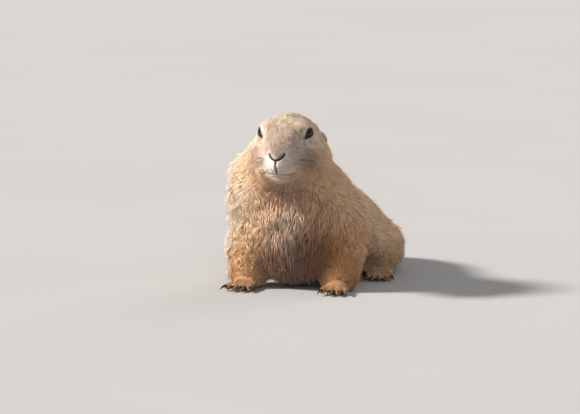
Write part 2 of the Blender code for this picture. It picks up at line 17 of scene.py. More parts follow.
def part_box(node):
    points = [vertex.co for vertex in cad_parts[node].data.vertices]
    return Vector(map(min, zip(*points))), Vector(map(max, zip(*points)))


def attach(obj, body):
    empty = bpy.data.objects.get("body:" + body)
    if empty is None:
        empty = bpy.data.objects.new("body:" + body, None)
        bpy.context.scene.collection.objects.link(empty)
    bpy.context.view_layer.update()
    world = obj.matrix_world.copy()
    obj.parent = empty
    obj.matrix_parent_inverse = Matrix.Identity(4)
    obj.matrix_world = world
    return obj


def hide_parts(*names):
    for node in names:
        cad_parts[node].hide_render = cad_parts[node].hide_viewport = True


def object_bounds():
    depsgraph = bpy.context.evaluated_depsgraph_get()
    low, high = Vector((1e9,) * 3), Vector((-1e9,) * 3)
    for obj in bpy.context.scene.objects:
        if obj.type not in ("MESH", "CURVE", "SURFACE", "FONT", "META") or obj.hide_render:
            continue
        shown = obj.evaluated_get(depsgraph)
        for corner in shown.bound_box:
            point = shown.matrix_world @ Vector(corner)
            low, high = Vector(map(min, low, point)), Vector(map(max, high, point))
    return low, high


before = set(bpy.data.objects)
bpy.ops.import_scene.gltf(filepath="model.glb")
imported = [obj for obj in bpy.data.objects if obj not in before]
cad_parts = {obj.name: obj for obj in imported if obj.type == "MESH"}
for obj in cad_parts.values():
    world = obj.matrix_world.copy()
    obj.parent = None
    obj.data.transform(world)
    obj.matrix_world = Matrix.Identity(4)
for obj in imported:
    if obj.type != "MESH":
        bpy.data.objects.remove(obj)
CAD_BOX = [list(corner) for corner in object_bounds()]
RNG = np.random.default_rng(11)
MM = 0.001

# Driving sizes of the head, as the solids have them
HEAD_TURN, HEAD_SHIFT = 2.3, -3.3
HEAD = Matrix.Translation((HEAD_SHIFT, 0, 0)) @ Matrix.Rotation(math.radians(HEAD_TURN), 4, "Z")
EYE = Vector((16.0, -25.5, 129.3))
EYE_RADIUS = 6.3
EYE_SIDEWAYS, EYE_UPWARD = 60.0, 8.0
NOSE_Y, NOSE_Z, MOUTH_Z = -58.5, 114.5, 101.0
EYE_MIDDLE = (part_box("eye_left")[0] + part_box("eye_left")[1]) / 2
ORIGIN = np.array(EYE_MIDDLE / MM - HEAD @ EYE)

# The gap between the lids: half length behind and ahead of the eye's middle, half height, and how
# its front corner drops
LID_BEHIND, LID_AHEAD, LID_HEIGHT, LID_DROP = 4.7, 5.5, 3.4, 0.05

# Lines of the face in the head's axes: points, half width and depth of the groove
NOSTRIL = ((0, NOSE_Y - 1.2, NOSE_Z - 3.9), (2.6, NOSE_Y - 0.6, NOSE_Z - 2.9),
           (4.8, NOSE_Y + 0.8, NOSE_Z - 1.2), (6.4, NOSE_Y + 2.8, NOSE_Z + 1.0))
CLEFT = ((0, NOSE_Y - 3, NOSE_Z - 3.8), (0, NOSE_Y - 2.5, NOSE_Z - 6.5),
         (0, NOSE_Y - 0.5, MOUTH_Z + 3.5), (0, NOSE_Y + 3, MOUTH_Z))
MOUTH = ((0, NOSE_Y + 4, MOUTH_Z), (4.5, NOSE_Y + 6, MOUTH_Z - 1.5),
         (8, NOSE_Y + 10.5, MOUTH_Z - 1.8), (10.5, NOSE_Y + 14.5, MOUTH_Z - 0.8))
FACE_LINES = ((NOSTRIL, 0.85, 1.6), (CLEFT, 0.7, 1.3), (MOUTH, 0.6, 1.2))

# A rim round each ear's hollow: half its length and width, how far out it lies and its thickness
EAR_RIM_LONG, EAR_RIM_ACROSS, EAR_RIM_OUT, EAR_RIM_THICK = 5.9, 4.4, -1.6, 0.9
EAR_INSIDE = (0, 4, 122)  # between the ears, in the head's axes

# Where the whiskers grow, in the head's axes
WHISKER_ROWS = ((10, -53.5, 108.5), (11.5, -50.5, 106.0), (12.5, -47.5, 109.0), (12.0, -51, 111.5))

# The nodes of flesh that one skin replaces, apart from the paws and tail, which are drawn anew
FLESH = ("head", "nose", "ear_left", "ear_right", "neck", "chest", "hips", "foreleg_left",
         "foreleg_right", "thigh_left", "thigh_right")
REDRAWN = ("forepaw_left", "forepaw_right", "hind_foot_left", "hind_foot_right", "tail")
NODES = FLESH + REDRAWN
HIP_SHIFT = 8.0
TAIL = (
    (HIP_SHIFT, 146, 15, 10, 10),
    (HIP_SHIFT - 1, 162, 11, 8, 7.5),
    (HIP_SHIFT - 3, 180, 8.5, 6, 5.2),
    (HIP_SHIFT - 6, 200, 7, 4.8, 4.2),
    (HIP_SHIFT - 9, 214, 6.5, 3.8, 3.4),
    (HIP_SHIFT - 11, 223, 6, 2.4, 2.1),
)
PALM = (
    (0, 13, 9, 7, 6),
    (0, 6, 7.5, 8.5, 6.5),
    (0, -3, 6, 9, 5.5),
    (0, -10, 5, 8.5, 4.6),
    (0, -14, 4.5, 6.5, 3.6),
)
SOLE = (
    (0, 38, 5.5, 5.5, 4.5),
    (0, 28, 6, 7, 5.8),
    (0, 12, 6, 8, 5.8),
    (0, -2, 5.5, 9, 5),
    (0, -8, 4.8, 7.5, 4),
)
PAW_TURN = 6.0

# The camera's angles in degrees, its distance and the width it sees in metres, and what it aims at
CAMERA_AZIMUTH, CAMERA_HEIGHT, CAMERA_AWAY, VIEW_WIDTH = 15.0, 8.0, 3.0, 0.4698
AIM = (-5.2, 0.0, 65.5)
SENSOR = 36.0

SKIN_VOXEL = 0.55
SKIN_FACES = 180000
COVER = 3.2  # how many tufts lie over each place of the skin
CLUMP = 12  # tufts to a clump
GUARD_SHARE = 0.1  # tufts that are thinner and longer than the rest
LONG_HAIR = 2.4  # tufts longer than this are bent
TAIL_START = 0.24  # the share of the tail's length at which its own coat begins
FLOOR_GAP = 0.25  # how far the skin stays above the floor
BAKE_PATCH = 0.003  # the size of a tuft's patch on the unwrap
COARSE_FACES = 9000  # in the copy of the skin that is unwrapped
DARK_SKIN_AND_SHADE = (0.012, 0.009, 0.008)  # bare dark skin of the lids, nose and lips, with painted shade in the grooves of the nostrils, the lip's cleft and the mouth

# The eye's colours from the middle of its pupil outwards
EYE_RINGS = ((0.0, (0.002, 0.002, 0.003)), (0.36, (0.002, 0.002, 0.003)),
             (0.44, (0.020, 0.011, 0.006)), (0.8, (0.012, 0.007, 0.005)),
             (1.0, (0.003, 0.003, 0.003)))
BEYOND = np.array((1.6, 2.4, 0.6))  # how far the tips may pass the solids' box
PIECE_FACES = 190000
OVERLAP = 0.35  # how far the solids swell so that they melt into one

# How the coat lies. Each row is a place, how far it is felt and how strongly, the way the hair
# points, the depth of the coat, and the hair's length and lift in degrees. Rows of the head are in
# its own axes, and those on its left are repeated on its right.
HEAD_LIE = (
    ((0, -60, 114), 5, 3, (0, 0.3, 1), 0.4, 1.4, 14),
    ((6, -57, 113), 4, 2, (0.8, 0.8, 0.2), 0.4, 1.5, 14),
    ((0, -49, 122), 8, 2, (0, 1, 0.5), 0.7, 2.3, 14),
    ((12, -47, 113), 7, 2, (0.5, 1, 0), 0.8, 2.4, 14),
    ((7, -54, 105), 5, 2, (0.7, 0.7, -0.5), 0.6, 1.9, 16),
    ((0, -48, 95), 6, 2, (0, 0.5, -1), 1.0, 3.0, 24),
    ((13, -42, 96), 7, 1, (0.5, 0.8, -0.5), 1.3, 3.4, 20),
    ((19, -32, 108), 9, 1, (0.4, 1, -0.2), 1.6, 4.0, 16),
    ((29, -20, 106), 10, 1, (0.3, 1, -0.3), 2.2, 5.0, 18),
    ((30, -4, 100), 10, 1, (0.2, 1, -0.5), 3.0, 6.5, 20),
    ((20, -30, 95), 9, 1, (0.3, 0.7, -0.7), 2.4, 5.5, 24),
    ((0, -34, 134), 9, 1, (0, 1, 0.6), 1.1, 3.0, 15),
    ((0, -12, 145), 12, 1, (0, 1, 0), 1.6, 4.0, 18),
    ((14, -24, 137), 8, 1, (0.25, 1, 0.3), 1.0, 2.7, 16),
    ((24, -12, 130), 8, 1, (0.2, 1, -0.1), 1.5, 3.6, 16),
    ((22, -30, 121), 7, 1, (0.45, 1, -0.25), 1.1, 3.0, 14),
    ((28, 5, 122), 7, 5, (0.3, 0.8, 0.6), 0.25, 1.9, 22),
    ((0, 10, 139), 12, 1, (0, 1, -0.4), 2.4, 5.5, 18),
    ((24, 14, 122), 9, 1, (0.1, 1, -0.4), 2.6, 6.0, 18),
    ((0, -26, 84), 10, 1, (0, -0.1, -1), 3.0, 7.5, 26),
)
BODY_LIE = (
    ((-46, 4, 98), 12, 1, (-0.6, 0.4, -0.8), 3.6, 8.0, 28),
    ((34, 8, 98), 12, 1, (0.3, 0.7, -0.8), 3.2, 8.0, 22),
    ((46, 14, 76), 13, 1, (0.15, 0.6, -0.9), 3.4, 9.0, 20),
    ((-59, 12, 74), 13, 1, (-0.5, 0.2, -0.9), 4.2, 9.0, 28),
    ((0, -24, 70), 12, 1, (0, -0.15, -1), 3.8, 11.0, 24),
    ((18, -25, 52), 11, 1, (-0.25, -0.05, -1), 3.8, 12.0, 22),
    ((-18, -25, 52), 11, 1, (0.25, -0.05, -1), 3.8, 12.0, 22),
    ((0, -26, 26), 12, 1, (0, 0.05, -1), 3.6, 13.0, 20),
    ((38, -16, 42), 11, 1, (0, 0, -1), 2.6, 7.0, 20),
    ((-38, -16, 42), 11, 1, (0, 0, -1), 2.6, 7.0, 20),
    ((58, 4, 40), 11, 1, (0.2, 0.2, -1), 3.0, 8.0, 22),
    ((-59, 4, 40), 11, 1, (-0.45, 0, -1), 4.2, 8.5, 28),
    ((38, -18, 14), 9, 2, (0, -0.2, -1), 1.5, 3.8, 20),
    ((-38, -18, 14), 9, 2, (0, -0.2, -1), 1.5, 3.8, 20),
    ((-56, -4, 16), 9, 1, (-0.4, 0, -1), 2.6, 6.5, 28),
    ((56, -4, 16), 9, 1, (0.2, 0, -1), 2.0, 6.0, 22),
    ((-4, 34, 105), 14, 1, (0, 1, -0.4), 3.4, 9.0, 20),
    ((2, 74, 88), 16, 1, (0, 1, -0.35), 3.4, 9.5, 18),
    ((8, 124, 62), 16, 1, (0, 0.9, -0.5), 3.4, 9.5, 20),
    ((8, 152, 34), 12, 1, (0, 0.6, -0.8), 3.2, 9.5, 22),
    ((50, 46, 52), 16, 1, (0.05, 0.8, -0.6), 3.4, 10.0, 20),
    ((-54, 46, 52), 16, 1, (-0.05, 0.8, -0.6), 3.4, 10.0, 20),
    ((0, 40, 4), 20, 1, (0, 1, 0), 2.4, 8.0, 14),
    ((68, 96, 24), 14, 1, (0.1, 0.8, -0.6), 3.0, 9.0, 20),
    ((-52, 96, 24), 14, 1, (-0.1, 0.8, -0.6), 3.0, 9.0, 20),
    ((60, 64, 18), 9, 1, (0.1, 0.3, -1), 2.2, 6.5, 20),
    ((-44, 64, 18), 9, 1, (-0.1, 0.3, -1), 2.2, 6.5, 20),
    ((38, -27, 4), 7, 4, (0, -1, -0.3), 0.3, 2.1, 16),
    ((-38, -27, 4), 7, 4, (0, -1, -0.3), 0.3, 2.1, 16),
    ((56, 52, 5), 8, 6, (0, -1, -0.2), 0.35, 2.0, 14),
    ((-40, 52, 5), 8, 6, (0, -1, -0.2), 0.35, 2.0, 14),
)

# The colours of the coat, laid out alike: place, reach, strength and colour as 0 to 255. Besides
# the markings they hold painted light and shade: rows on the -X side, where the key light falls,
# are paler, and rows on the +X side, in the armpits and between the forelegs are darker.
HEAD_MARKS_AND_SHADING = (
    ((0, -60, 116), 4, 4, (138, 116, 104)),
    ((0, -52, 120), 6, 3, (178, 152, 134)),
    ((0, -42, 128), 8, 2, (202, 176, 154)),
    ((0, -26, 140), 11, 1, (226, 202, 174)),
    ((0, -4, 143), 14, 1, (222, 190, 156)),
    ((13, -26, 138), 6, 2, (216, 188, 162)),
    ((19, -33, 124), 4, 5, (244, 228, 208)),
    ((20, -20, 121), 4, 3, (238, 216, 192)),
    ((11, -48, 112), 6, 2, (228, 204, 184)),
    ((6, -56, 106), 4, 4, (244, 228, 214)),
    ((0, -50, 97), 5, 3, (234, 208, 184)),
    ((21, -36, 113), 6, 3, (166, 130, 106)),
    ((28, -20, 112), 8, 1, (226, 188, 146)),
    ((20, -32, 96), 9, 1, (226, 184, 140)),
    ((30, -4, 102), 10, 1, (228, 190, 146)),
    ((28, 5, 122), 5, 4, (226, 202, 178)),
    # painted highlight: the muzzle paler on its -X side, where the key light falls; this row is not
    # repeated on +X
    ((-7, -57, 103), 4, 4, (250, 238, 226)),
    ((0, -46, 92), 4, 3, (196, 158, 128)),
    ((0, -30, 86), 9, 2, (188, 146, 112)),
)
BODY_MARKS_AND_SHADING = (
    ((0, -26, 76), 8, 2, (208, 164, 128)),
    ((0, -28, 62), 8, 2, (208, 180, 158)),
    # painted light and shade: the chest, forelegs and flanks are paler on -X, where the key light
    # falls, and darker on +X
    ((14, -26, 48), 9, 1, (140, 104, 82)),
    ((-14, -26, 48), 9, 1, (214, 178, 150)),
    # low on the chest between the forelegs: its own brown, darkened with painted shade
    ((0, -26, 26), 11, 1, (126, 84, 58)),
    ((24, -20, 66), 9, 1, (208, 164, 122)),
    ((-26, -18, 66), 9, 1, (250, 212, 172)),
    # painted shade in the armpits
    ((24, -14, 30), 8, 3, (124, 84, 54)),
    ((-24, -14, 30), 8, 3, (140, 98, 66)),
    ((38, -16, 36), 10, 1, (200, 144, 94)),
    ((-38, -16, 36), 10, 2, (255, 208, 152)),
    ((-60, 4, 50), 14, 2, (255, 232, 202)),
    ((-52, 6, 90), 14, 2, (255, 226, 192)),
    ((46, 10, 84), 14, 1, (246, 206, 164)),
    ((58, 6, 40), 10, 1, (226, 182, 138)),
    ((38, -20, 8), 9, 2, (206, 152, 102)),
    ((-38, -20, 8), 9, 2, (232, 180, 130)),
    ((-4, 34, 108), 16, 1, (224, 186, 146)),
    ((2, 80, 88), 20, 1, (236, 194, 152)),
    ((8, 140, 50), 20, 1, (220, 180, 138)),
    ((50, 50, 56), 16, 1, (250, 212, 172)),
    ((-54, 50, 56), 16, 1, (242, 206, 166)),
    ((0, 40, 4), 16, 1, (242, 222, 194)),
    ((66, 96, 24), 16, 1, (242, 200, 156)),
    ((44, 33, 58), 8, 2, (244, 230, 212)),
    ((-50, 96, 24), 16, 1, (228, 190, 148)),
    ((38, -27, 4), 7, 5, (212, 168, 126)),
    ((-38, -27, 4), 7, 5, (214, 172, 130)),
    ((56, 52, 5), 9, 5, (220, 182, 142)),
    ((-40, 52, 5), 9, 5, (220, 182, 142)),
)
TAIL_COLOURS = ((204, 162, 112), (168, 120, 78), (58, 40, 30))

# Where dark flecks gather: middle and reach, in the drawing's axes and in the head's
CHEST = ((0, -26, 46), (30, 22, 34))
THROAT = ((-2, -30, 84), (24, 18, 14))
CROWN = ((0, -24, 138), (24, 22, 12))
MUZZLE = ((0, -48, 116), (16, 16, 12))
CHEEK = ((22, -34, 104), (8, 10, 9))


def linear(colour):
    """A colour of 0 to 255 as the renderer's own numbers."""
    value = np.asarray(colour, float) / 255
    return np.where(value < 0.04, value / 12.92, ((value + 0.055) / 1.055) ** 2.4)


def in_metres(places):
    """Places in the drawing's axes as places in the frame."""
    return (np.asarray(places) + ORIGIN) * MM


def in_head(places):
    """Places in the drawing's axes as places in the head's own axes."""
    turn = np.array(HEAD.to_3x3())
    return (places - np.array(HEAD.translation)) @ turn


def from_head(places):
    """Places in the head's own axes as places in the drawing's axes."""
    turn = np.array(HEAD.to_3x3())
    return np.asarray(places, float) @ turn.T + np.array(HEAD.translation)


def unit(vectors):
    """Vectors made one long."""
    return vectors / np.maximum(np.linalg.norm(vectors, axis=-1, keepdims=True), 1e-9)


def level(ways, normal):
    """Ways laid flat on the skin and made one long."""
    return unit(ways - normal * (ways * normal).sum(axis=1, keepdims=True))


def about(places, spot):
    """How near each place lies to a spot, given as its middle and reach, from 0 to 1."""
    middle, reach = spot
    return np.exp(-(((places - middle) / reach) ** 2).sum(axis=1))


def waves(places, size, seed, count=5):
    """A smooth random number from about -1 to 1 at each place, with bumps of this size."""
    random = np.random.default_rng(seed)
    ways = unit(random.normal(size=(count, 3))) * (math.tau / size)
    ways *= random.uniform(0.6, 1.5, (count, 1))
    phases = random.uniform(0, math.tau, count)
    return np.sin(places @ ways.T + phases).sum(axis=1) / math.sqrt(count)


def drift(places, size, seed):
    """Three such numbers at each place."""
    return np.stack([waves(places, size, seed + k) for k in range(3)], 1)


def smooth_path(stations, count):
    """Catmull-Rom samples through rows of numbers, evenly spaced from the first row to the last."""
    rows = np.array(stations, float)
    rows = np.vstack([2 * rows[0] - rows[1], rows, 2 * rows[-1] - rows[-2]])
    places = np.linspace(0, len(stations) - 1, count)
    starts = np.minimum(places.astype(int), len(stations) - 2)
    t = (places - starts)[:, None]
    a, b, c, d = (rows[starts + k] for k in range(4))
    bend = (2 * a - 5 * b + 4 * c - d) * t**2 + (3 * b - a - 3 * c + d) * t**3
    return 0.5 * (2 * b + (c - a) * t + bend)


def tube(rows, sides=12, side_way=(1, 0, 0)):
    """Vertices and triangles of a closed tube through rows of x, y, z, half width, half depth."""
    rows = np.asarray(rows, float)
    count = len(rows)
    heading = unit(np.gradient(rows[:, :3], axis=0))
    across = unit(side_way - heading * (heading @ np.asarray(side_way))[:, None])
    upward = np.cross(across, heading)
    turn = np.arange(sides) * math.tau / sides
    ring = (across[:, None] * (rows[:, 3, None, None] * np.cos(turn)[:, None])
            + upward[:, None] * (rows[:, 4, None, None] * np.sin(turn)[:, None]))
    verts = (rows[:, None, :3] + ring).reshape(-1, 3)
    verts = np.vstack([verts, rows[0, :3], rows[-1, :3]])
    near = (np.arange(count - 1)[:, None] * sides + np.arange(sides)).ravel()
    step = np.where(np.arange(len(near)) % sides == sides - 1, 1 - sides, 1)
    faces = [np.stack([near, near + sides, near + step], 1),
             np.stack([near + step, near + sides, near + sides + step], 1)]
    k = np.arange(sides)
    after = (k + 1) % sides
    last = (count - 1) * sides
    faces.append(np.stack([np.full(sides, count * sides), k, after], 1))
    faces.append(np.stack([np.full(sides, count * sides + 1), last + after, last + k], 1))
    return verts, np.vstack(faces)


def joined(parts):
    """Several (vertices, triangles) as one."""
    starts = np.cumsum([0] + [len(verts) for verts, _ in parts])
    verts = np.vstack([verts for verts, _ in parts])
    return verts, np.vstack([tris + start for (_, tris), start in zip(parts, starts)])


def placed(name, data):
    """A new object with this data, in the scene."""
    made = bpy.data.objects.new(name, data)
    bpy.context.scene.collection.objects.link(made)
    return made


def mesh_of(bm, name):
    """The mesh that a bmesh holds. The bmesh is freed."""
    mesh = bpy.data.meshes.new(name)
    bm.to_mesh(mesh)
    bm.free()
    return mesh


def set_places(mesh, places):
    """Puts a mesh's vertices at places in millimetres."""
    mesh.vertices.foreach_set("co", in_metres(places).astype(np.float32).ravel())


def paint(mesh, colours):
    """Keeps the coat's colour at each vertex of a mesh."""
    layer = mesh.attributes.new("coat", "FLOAT_COLOR", "POINT")
    four = np.hstack([colours, np.ones((len(colours), 1))])
    layer.data.foreach_set("color", four.astype(np.float32).ravel())


def mesh_object(name, places, tris):
    """A smooth mesh object in the frame, from places in millimetres and triangles."""
    mesh = bpy.data.meshes.new(name)
    mesh.vertices.add(len(places))
    set_places(mesh, places)
    mesh.loops.add(len(tris) * 3)
    mesh.loops.foreach_set("vertex_index", tris.astype(np.int32).ravel())
    mesh.polygons.add(len(tris))
    mesh.polygons.foreach_set("loop_start", np.arange(0, len(tris) * 3, 3, dtype=np.int32))
    mesh.update(calc_edges=True)
    mesh.shade_smooth()
    return placed(name, mesh)


def arrays_of(obj):
    """Places in millimetres and triangles of a mesh object."""
    mesh = obj.data
    mesh.calc_loop_triangles()
    places = np.empty(len(mesh.vertices) * 3, np.float32)
    mesh.vertices.foreach_get("co", places)
    tris = np.empty(len(mesh.loop_triangles) * 3, np.int32)
    mesh.loop_triangles.foreach_get("vertices", tris)
    return places.reshape(-1, 3).astype(float) / MM - ORIGIN, tris.reshape(-1, 3)


def applied(obj):
    """Turns the object's modifiers into its mesh."""
    graph = bpy.context.evaluated_depsgraph_get()
    mesh = bpy.data.meshes.new_from_object(obj.evaluated_get(graph))
    obj.modifiers.clear()
    obj.data = mesh
    return obj


def normals_of(places, tris):
    """Vertex normals, weighted by area."""
    a, b, c = (places[tris[:, k]] for k in range(3))
    area = np.cross(b - a, c - a)
    total = np.zeros_like(places)
    for corner in range(3):
        for axis in range(3):
            total[:, axis] += np.bincount(tris[:, corner], area[:, axis], len(places))
    return unit(total)


def blurred(values, edges, rounds, share):
    """Vertex values drawn towards their neighbours' mean, share for each vertex or for all."""
    count = len(values)
    degree = np.bincount(edges.ravel(), minlength=count)[:, None]
    for _ in range(rounds):
        total = np.zeros_like(values)
        for axis in range(values.shape[1]):
            near, far = edges[:, 0], edges[:, 1]
            total[:, axis] = np.bincount(near, values[far, axis], count)
            total[:, axis] += np.bincount(far, values[near, axis], count)
        values = values + share * (total / degree - values)
    return values


def edges_of(tris):
    """Each edge of a triangle mesh once."""
    pairs = np.vstack([tris[:, (0, 1)], tris[:, (1, 2)], tris[:, (2, 0)]])
    pairs.sort(axis=1)
    return np.unique(pairs, axis=0)


def both_sides(rows):
    """Rows of a table of the head, with those on its left repeated on its right."""
    full = []
    for place, *rest in rows:
        full.append((place, *rest))
        if place[0] > 0:
            mirror = list(rest)
            if len(rest) > 3:
                mirror[2] = (-rest[2][0], *rest[2][1:])
            full.append(((-place[0], *place[1:]), *mirror))
    return full


def felt(places, rows):
    """How much of each row's numbers a place takes, as shares that add up to one."""
    total = np.zeros((len(places), len(rows)))
    for k, (centre, reach, strength, *_) in enumerate(rows):
        apart = ((places - np.asarray(centre, float)) ** 2).sum(axis=1)
        total[:, k] = strength * (np.exp(-apart / (2 * reach**2)) + 1e-4 * np.exp(-apart / 5000))
    return total / total.sum(axis=1, keepdims=True)


def table(head_rows, body_rows):
    """Both tables as one, in the drawing's axes."""
    rows = []
    for place, reach, strength, *rest in both_sides(head_rows):
        rest = [tuple(np.array(HEAD.to_3x3()) @ rest[0])] + rest[1:] if len(rest) > 1 else rest
        rows.append((tuple(from_head(place)), reach, strength, *rest))
    return rows + list(body_rows)


LIE = table(HEAD_LIE, BODY_LIE)
MARKS_AND_SHADING = table(HEAD_MARKS_AND_SHADING, BODY_MARKS_AND_SHADING)
TAIL_PATH = smooth_path(TAIL, 120)


def lie_of(places):
    """The hair's way, the coat's depth, and the hair's length and lift at each place."""
    share = felt(places, LIE)
    numbers = np.array([(*unit(np.array(row[3], float)), *row[4:]) for row in LIE])
    found = share @ numbers
    return found[:, :3], found[:, 3], found[:, 4], found[:, 5]


def tail_share(places):
    """How far along the tail each place lies, from 0 at its root to 1, or -1 off the tail."""
    along = (places[:, 1] - TAIL_PATH[0, 1]) / (TAIL_PATH[-1, 1] - TAIL_PATH[0, 1])
    step = np.clip((along * (len(TAIL_PATH) - 1)).astype(int), 0, len(TAIL_PATH) - 1)
    apart = np.linalg.norm((places - TAIL_PATH[step, :3])[:, (0, 2)], axis=1)
    return np.where((along > TAIL_START) & (apart < 14), np.clip(along, 0, 1), -1.0)


def eye_axes(side):
    """An eye's centre, and unit vectors along its gaze, forwards and upwards, in the drawing."""
    sideways, upward = math.radians(EYE_SIDEWAYS), math.radians(EYE_UPWARD)
    gaze = Vector((side * math.sin(sideways), -math.cos(sideways), math.tan(upward))).normalized()
    forwards = Vector((0, -1, -0.25))
    forwards = (forwards - gaze * gaze.dot(forwards)).normalized()
    above = gaze.cross(forwards) * (1 if gaze.cross(forwards).z > 0 else -1)
    centre = HEAD @ Vector((side * EYE.x, EYE.y, EYE.z))
    turn = HEAD.to_3x3()
    return [np.array(v) for v in (centre, turn @ gaze, turn @ forwards, turn @ above)]


def lid_share(places, side):
    """Where a place lies about an eye: under 1 between the lids, over 1 outside them."""
    centre, gaze, forwards, above = eye_axes(side)
    apart = places - centre
    reach = np.linalg.norm(apart, axis=1)
    scale = (EYE_RADIUS + 0.7) / np.maximum(reach, 1e-6)
    ahead, up = apart @ forwards * scale, apart @ above * scale
    up = up + LID_DROP * np.maximum(ahead, 0) ** 2
    length = np.where(ahead > 0, LID_AHEAD, LID_BEHIND)
    share = np.sqrt((ahead / length) ** 2 + (up / LID_HEIGHT) ** 2)
    return np.where(apart @ gaze > 0, share, 9.0), reach


def lid_edge(side, share, radius, count=40):
    """Points along the lids' edge, or a wider ring, on a ball of this radius about the eye."""
    centre, gaze, forwards, above = eye_axes(side)
    turn = np.arange(count) * math.tau / count
    ahead = np.cos(turn) * share
    ahead *= np.where(ahead > 0, LID_AHEAD, LID_BEHIND)
    up = np.sin(turn) * share * LID_HEIGHT - LID_DROP * np.maximum(ahead, 0) ** 2
    scale = radius / (EYE_RADIUS + 0.7)
    ahead, up = ahead * scale, up * scale
    out = np.sqrt(np.maximum(radius**2 - ahead**2 - up**2, 0.5))
    return centre + np.outer(ahead, forwards) + np.outer(up, above) + np.outer(out, gaze)


def line_gap(places, path):
    """The distance from each place to a line of points in the head's axes, on its nearer side."""
    own = in_head(places)
    own[:, 0] = np.abs(own[:, 0])
    gap = np.full(len(places), 1e3)
    for point in path:
        gap = np.minimum(gap, ((own - point) ** 2).sum(axis=1))
    return np.sqrt(gap)


def face_lines(places, tris):
    """The lines of the face drawn along the skin and down to the bottoms of their grooves.

    Each is a row of points in the head's axes, with the groove's width and depth.
    """
    tree = BVHTree.FromPolygons(places.tolist(), tris.tolist())
    lines = []
    for points, width, depth in FACE_LINES:
        path = []
        for place in from_head(smooth_path(points, 30)):
            near, normal, _, _ = tree.find_nearest(Vector(place))
            path += [near - normal * depth * share for share in (0, 0.35, 0.7, 1)]
        path = in_head(np.array(path))
        if points[0][0] == points[-1][0]:
            path[:, 0] = 0
        lines.append((path, width, depth))
    return lines


def digit(root, angle, length, radius, claw):
    """Rows of a toe with a raised knuckle and of its claw, in the paw's axes."""
    turn = math.radians(angle)
    ahead = np.array((-math.sin(turn), -math.cos(turn), 0))
    root = np.array(root, float)
    tops = ((0.0, 0.0, 1.0), (0.45, 1.3, 0.98), (0.8, -0.2, 0.9), (1.0, -1.2, 0.62))
    toe = [(*(root + ahead * length * along + (0, 0, lift)), radius * full, radius * full)
           for along, lift, full in tops]
    tip = root + ahead * length * 0.9
    nail = []
    for share in np.linspace(0, 1, 12):
        drop = 0.2 + 0.9 * math.sin(math.pi * share * 0.9) - 2.2 * share**2
        thick = 1.4 * (1 - share) ** 0.7 + 0.12
        nail.append((*(tip + ahead * claw * share + (0, 0, drop)), thick * 0.72, thick))
    return smooth_path(toe, 12), np.array(nail), np.cross(ahead, (0, 0, 1))


def paws():
    """For each paw its place, palm and digits: tubes of flesh and tubes of claws."""
    fore = [((6.6 - 4.4 * k, -10, 4.2), angle, (10.5, 13, 13, 10.5)[k], 2.7, 8.5)
            for k, angle in enumerate((-20, -7, 6, 20))] + [((-7, -4, 4.5), 32, 6.5, 2.2, 4.0)]
    hind = [((7 - 3.5 * k, -4, 4), angle, (9, 12, 13, 12, 9)[k], 2.6, 6.0)
            for k, angle in enumerate((-24, -10, 0, 10, 24))]
    flesh, claws = [], {}
    for side, word in ((1, "left"), (-1, "right")):
        for name, sole, digits, place in (
            ("forepaw_", PALM, fore, (side * 38.0, -13.0, -0.9)),
            ("hind_foot_", SOLE, hind, (HIP_SHIFT + side * 48.0, 62.0, -0.9)),
        ):
            spin = np.array(Matrix.Rotation(math.radians(side * PAW_TURN), 3, "Z"))
            flip = np.array((side, 1, 1))
            tubes = [tube(smooth_path(sole, 18), 20)]
            nails = []
            for root, angle, *sizes in digits:
                toe, nail, side_way = digit(root, angle, *sizes)
                tubes.append(tube(toe, 14, side_way))
                nails.append(tube(nail, 12, side_way))
            for parts, kept in ((tubes, flesh), (nails, claws.setdefault(name + word, []))):
                for verts, tris in parts:
                    if side < 0:
                        tris = tris[:, ::-1]
                    kept.append(((verts * flip) @ spin.T + np.array(place), tris))
    return flesh, claws


def melted():
    """Flesh, eyeballs, paws, tail and the rims of the ears as one closed body."""
    bm = bmesh.new()
    for node in FLESH:
        part = bmesh.new()
        part.from_mesh(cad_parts[node].data)
        bmesh.ops.remove_doubles(part, verts=part.verts, dist=1e-6)
        part.normal_update()
        for vertex in part.verts:
            vertex.co += vertex.normal * (OVERLAP * MM)
        bm.from_mesh(mesh_of(part, "copy"))
    for side in (1, -1):
        place = Matrix.Translation(in_metres(eye_axes(side)[0]))
        bmesh.ops.create_uvsphere(bm, u_segments=32, v_segments=20,
                                  radius=(EYE_RADIUS + 0.9) * MM, matrix=place)
    rims = [ear_rim(side) for side in ("left", "right")]
    for verts, tris in paws()[0] + [tube(TAIL_PATH, 24)] + rims:
        made = mesh_object("drawn", verts, tris)
        bm.from_mesh(made.data)
        bpy.data.objects.remove(made)
    skin = placed("skin", mesh_of(bm, "skin"))
    melt = skin.modifiers.new("melt", "REMESH")
    melt.mode = "VOXEL"
    melt.voxel_size = SKIN_VOXEL * MM
    return applied(skin)


def shrunk(places, tris, edges):
    """The body's vertices, smoothed where the coat is deep and drawn in by its depth."""
    own = in_head(places)
    _, depth, _, _ = lie_of(places)
    face = np.clip((-own[:, 1] - 14) / 14, 0, 1) * (own[:, 2] > 84)
    ear = np.clip((2.2 - ear_gap(places)) / 1.2, 0, 1)
    fine = np.clip(1.2 - depth, 0, 1) + 0.9 * ear
    soft = np.clip(1 - 0.75 * face - fine, 0.04, 1)[:, None] * 0.6
    places = blurred(places, edges, int(26 * (0.55 / SKIN_VOXEL) ** 2) + 4, soft)
    tail = tail_share(places) >= 0
    depth = np.where(tail, 0.4, depth)
    depth = blurred(depth[:, None], edges, 12, 0.6)[:, 0]
    depth = depth + (0.1 - depth) * ear
    normals = blurred(normals_of(places, tris), edges, 4, 0.5)
    places -= unit(normals) * (depth + OVERLAP)[:, None]
    return blurred(places, edges, 3, soft)


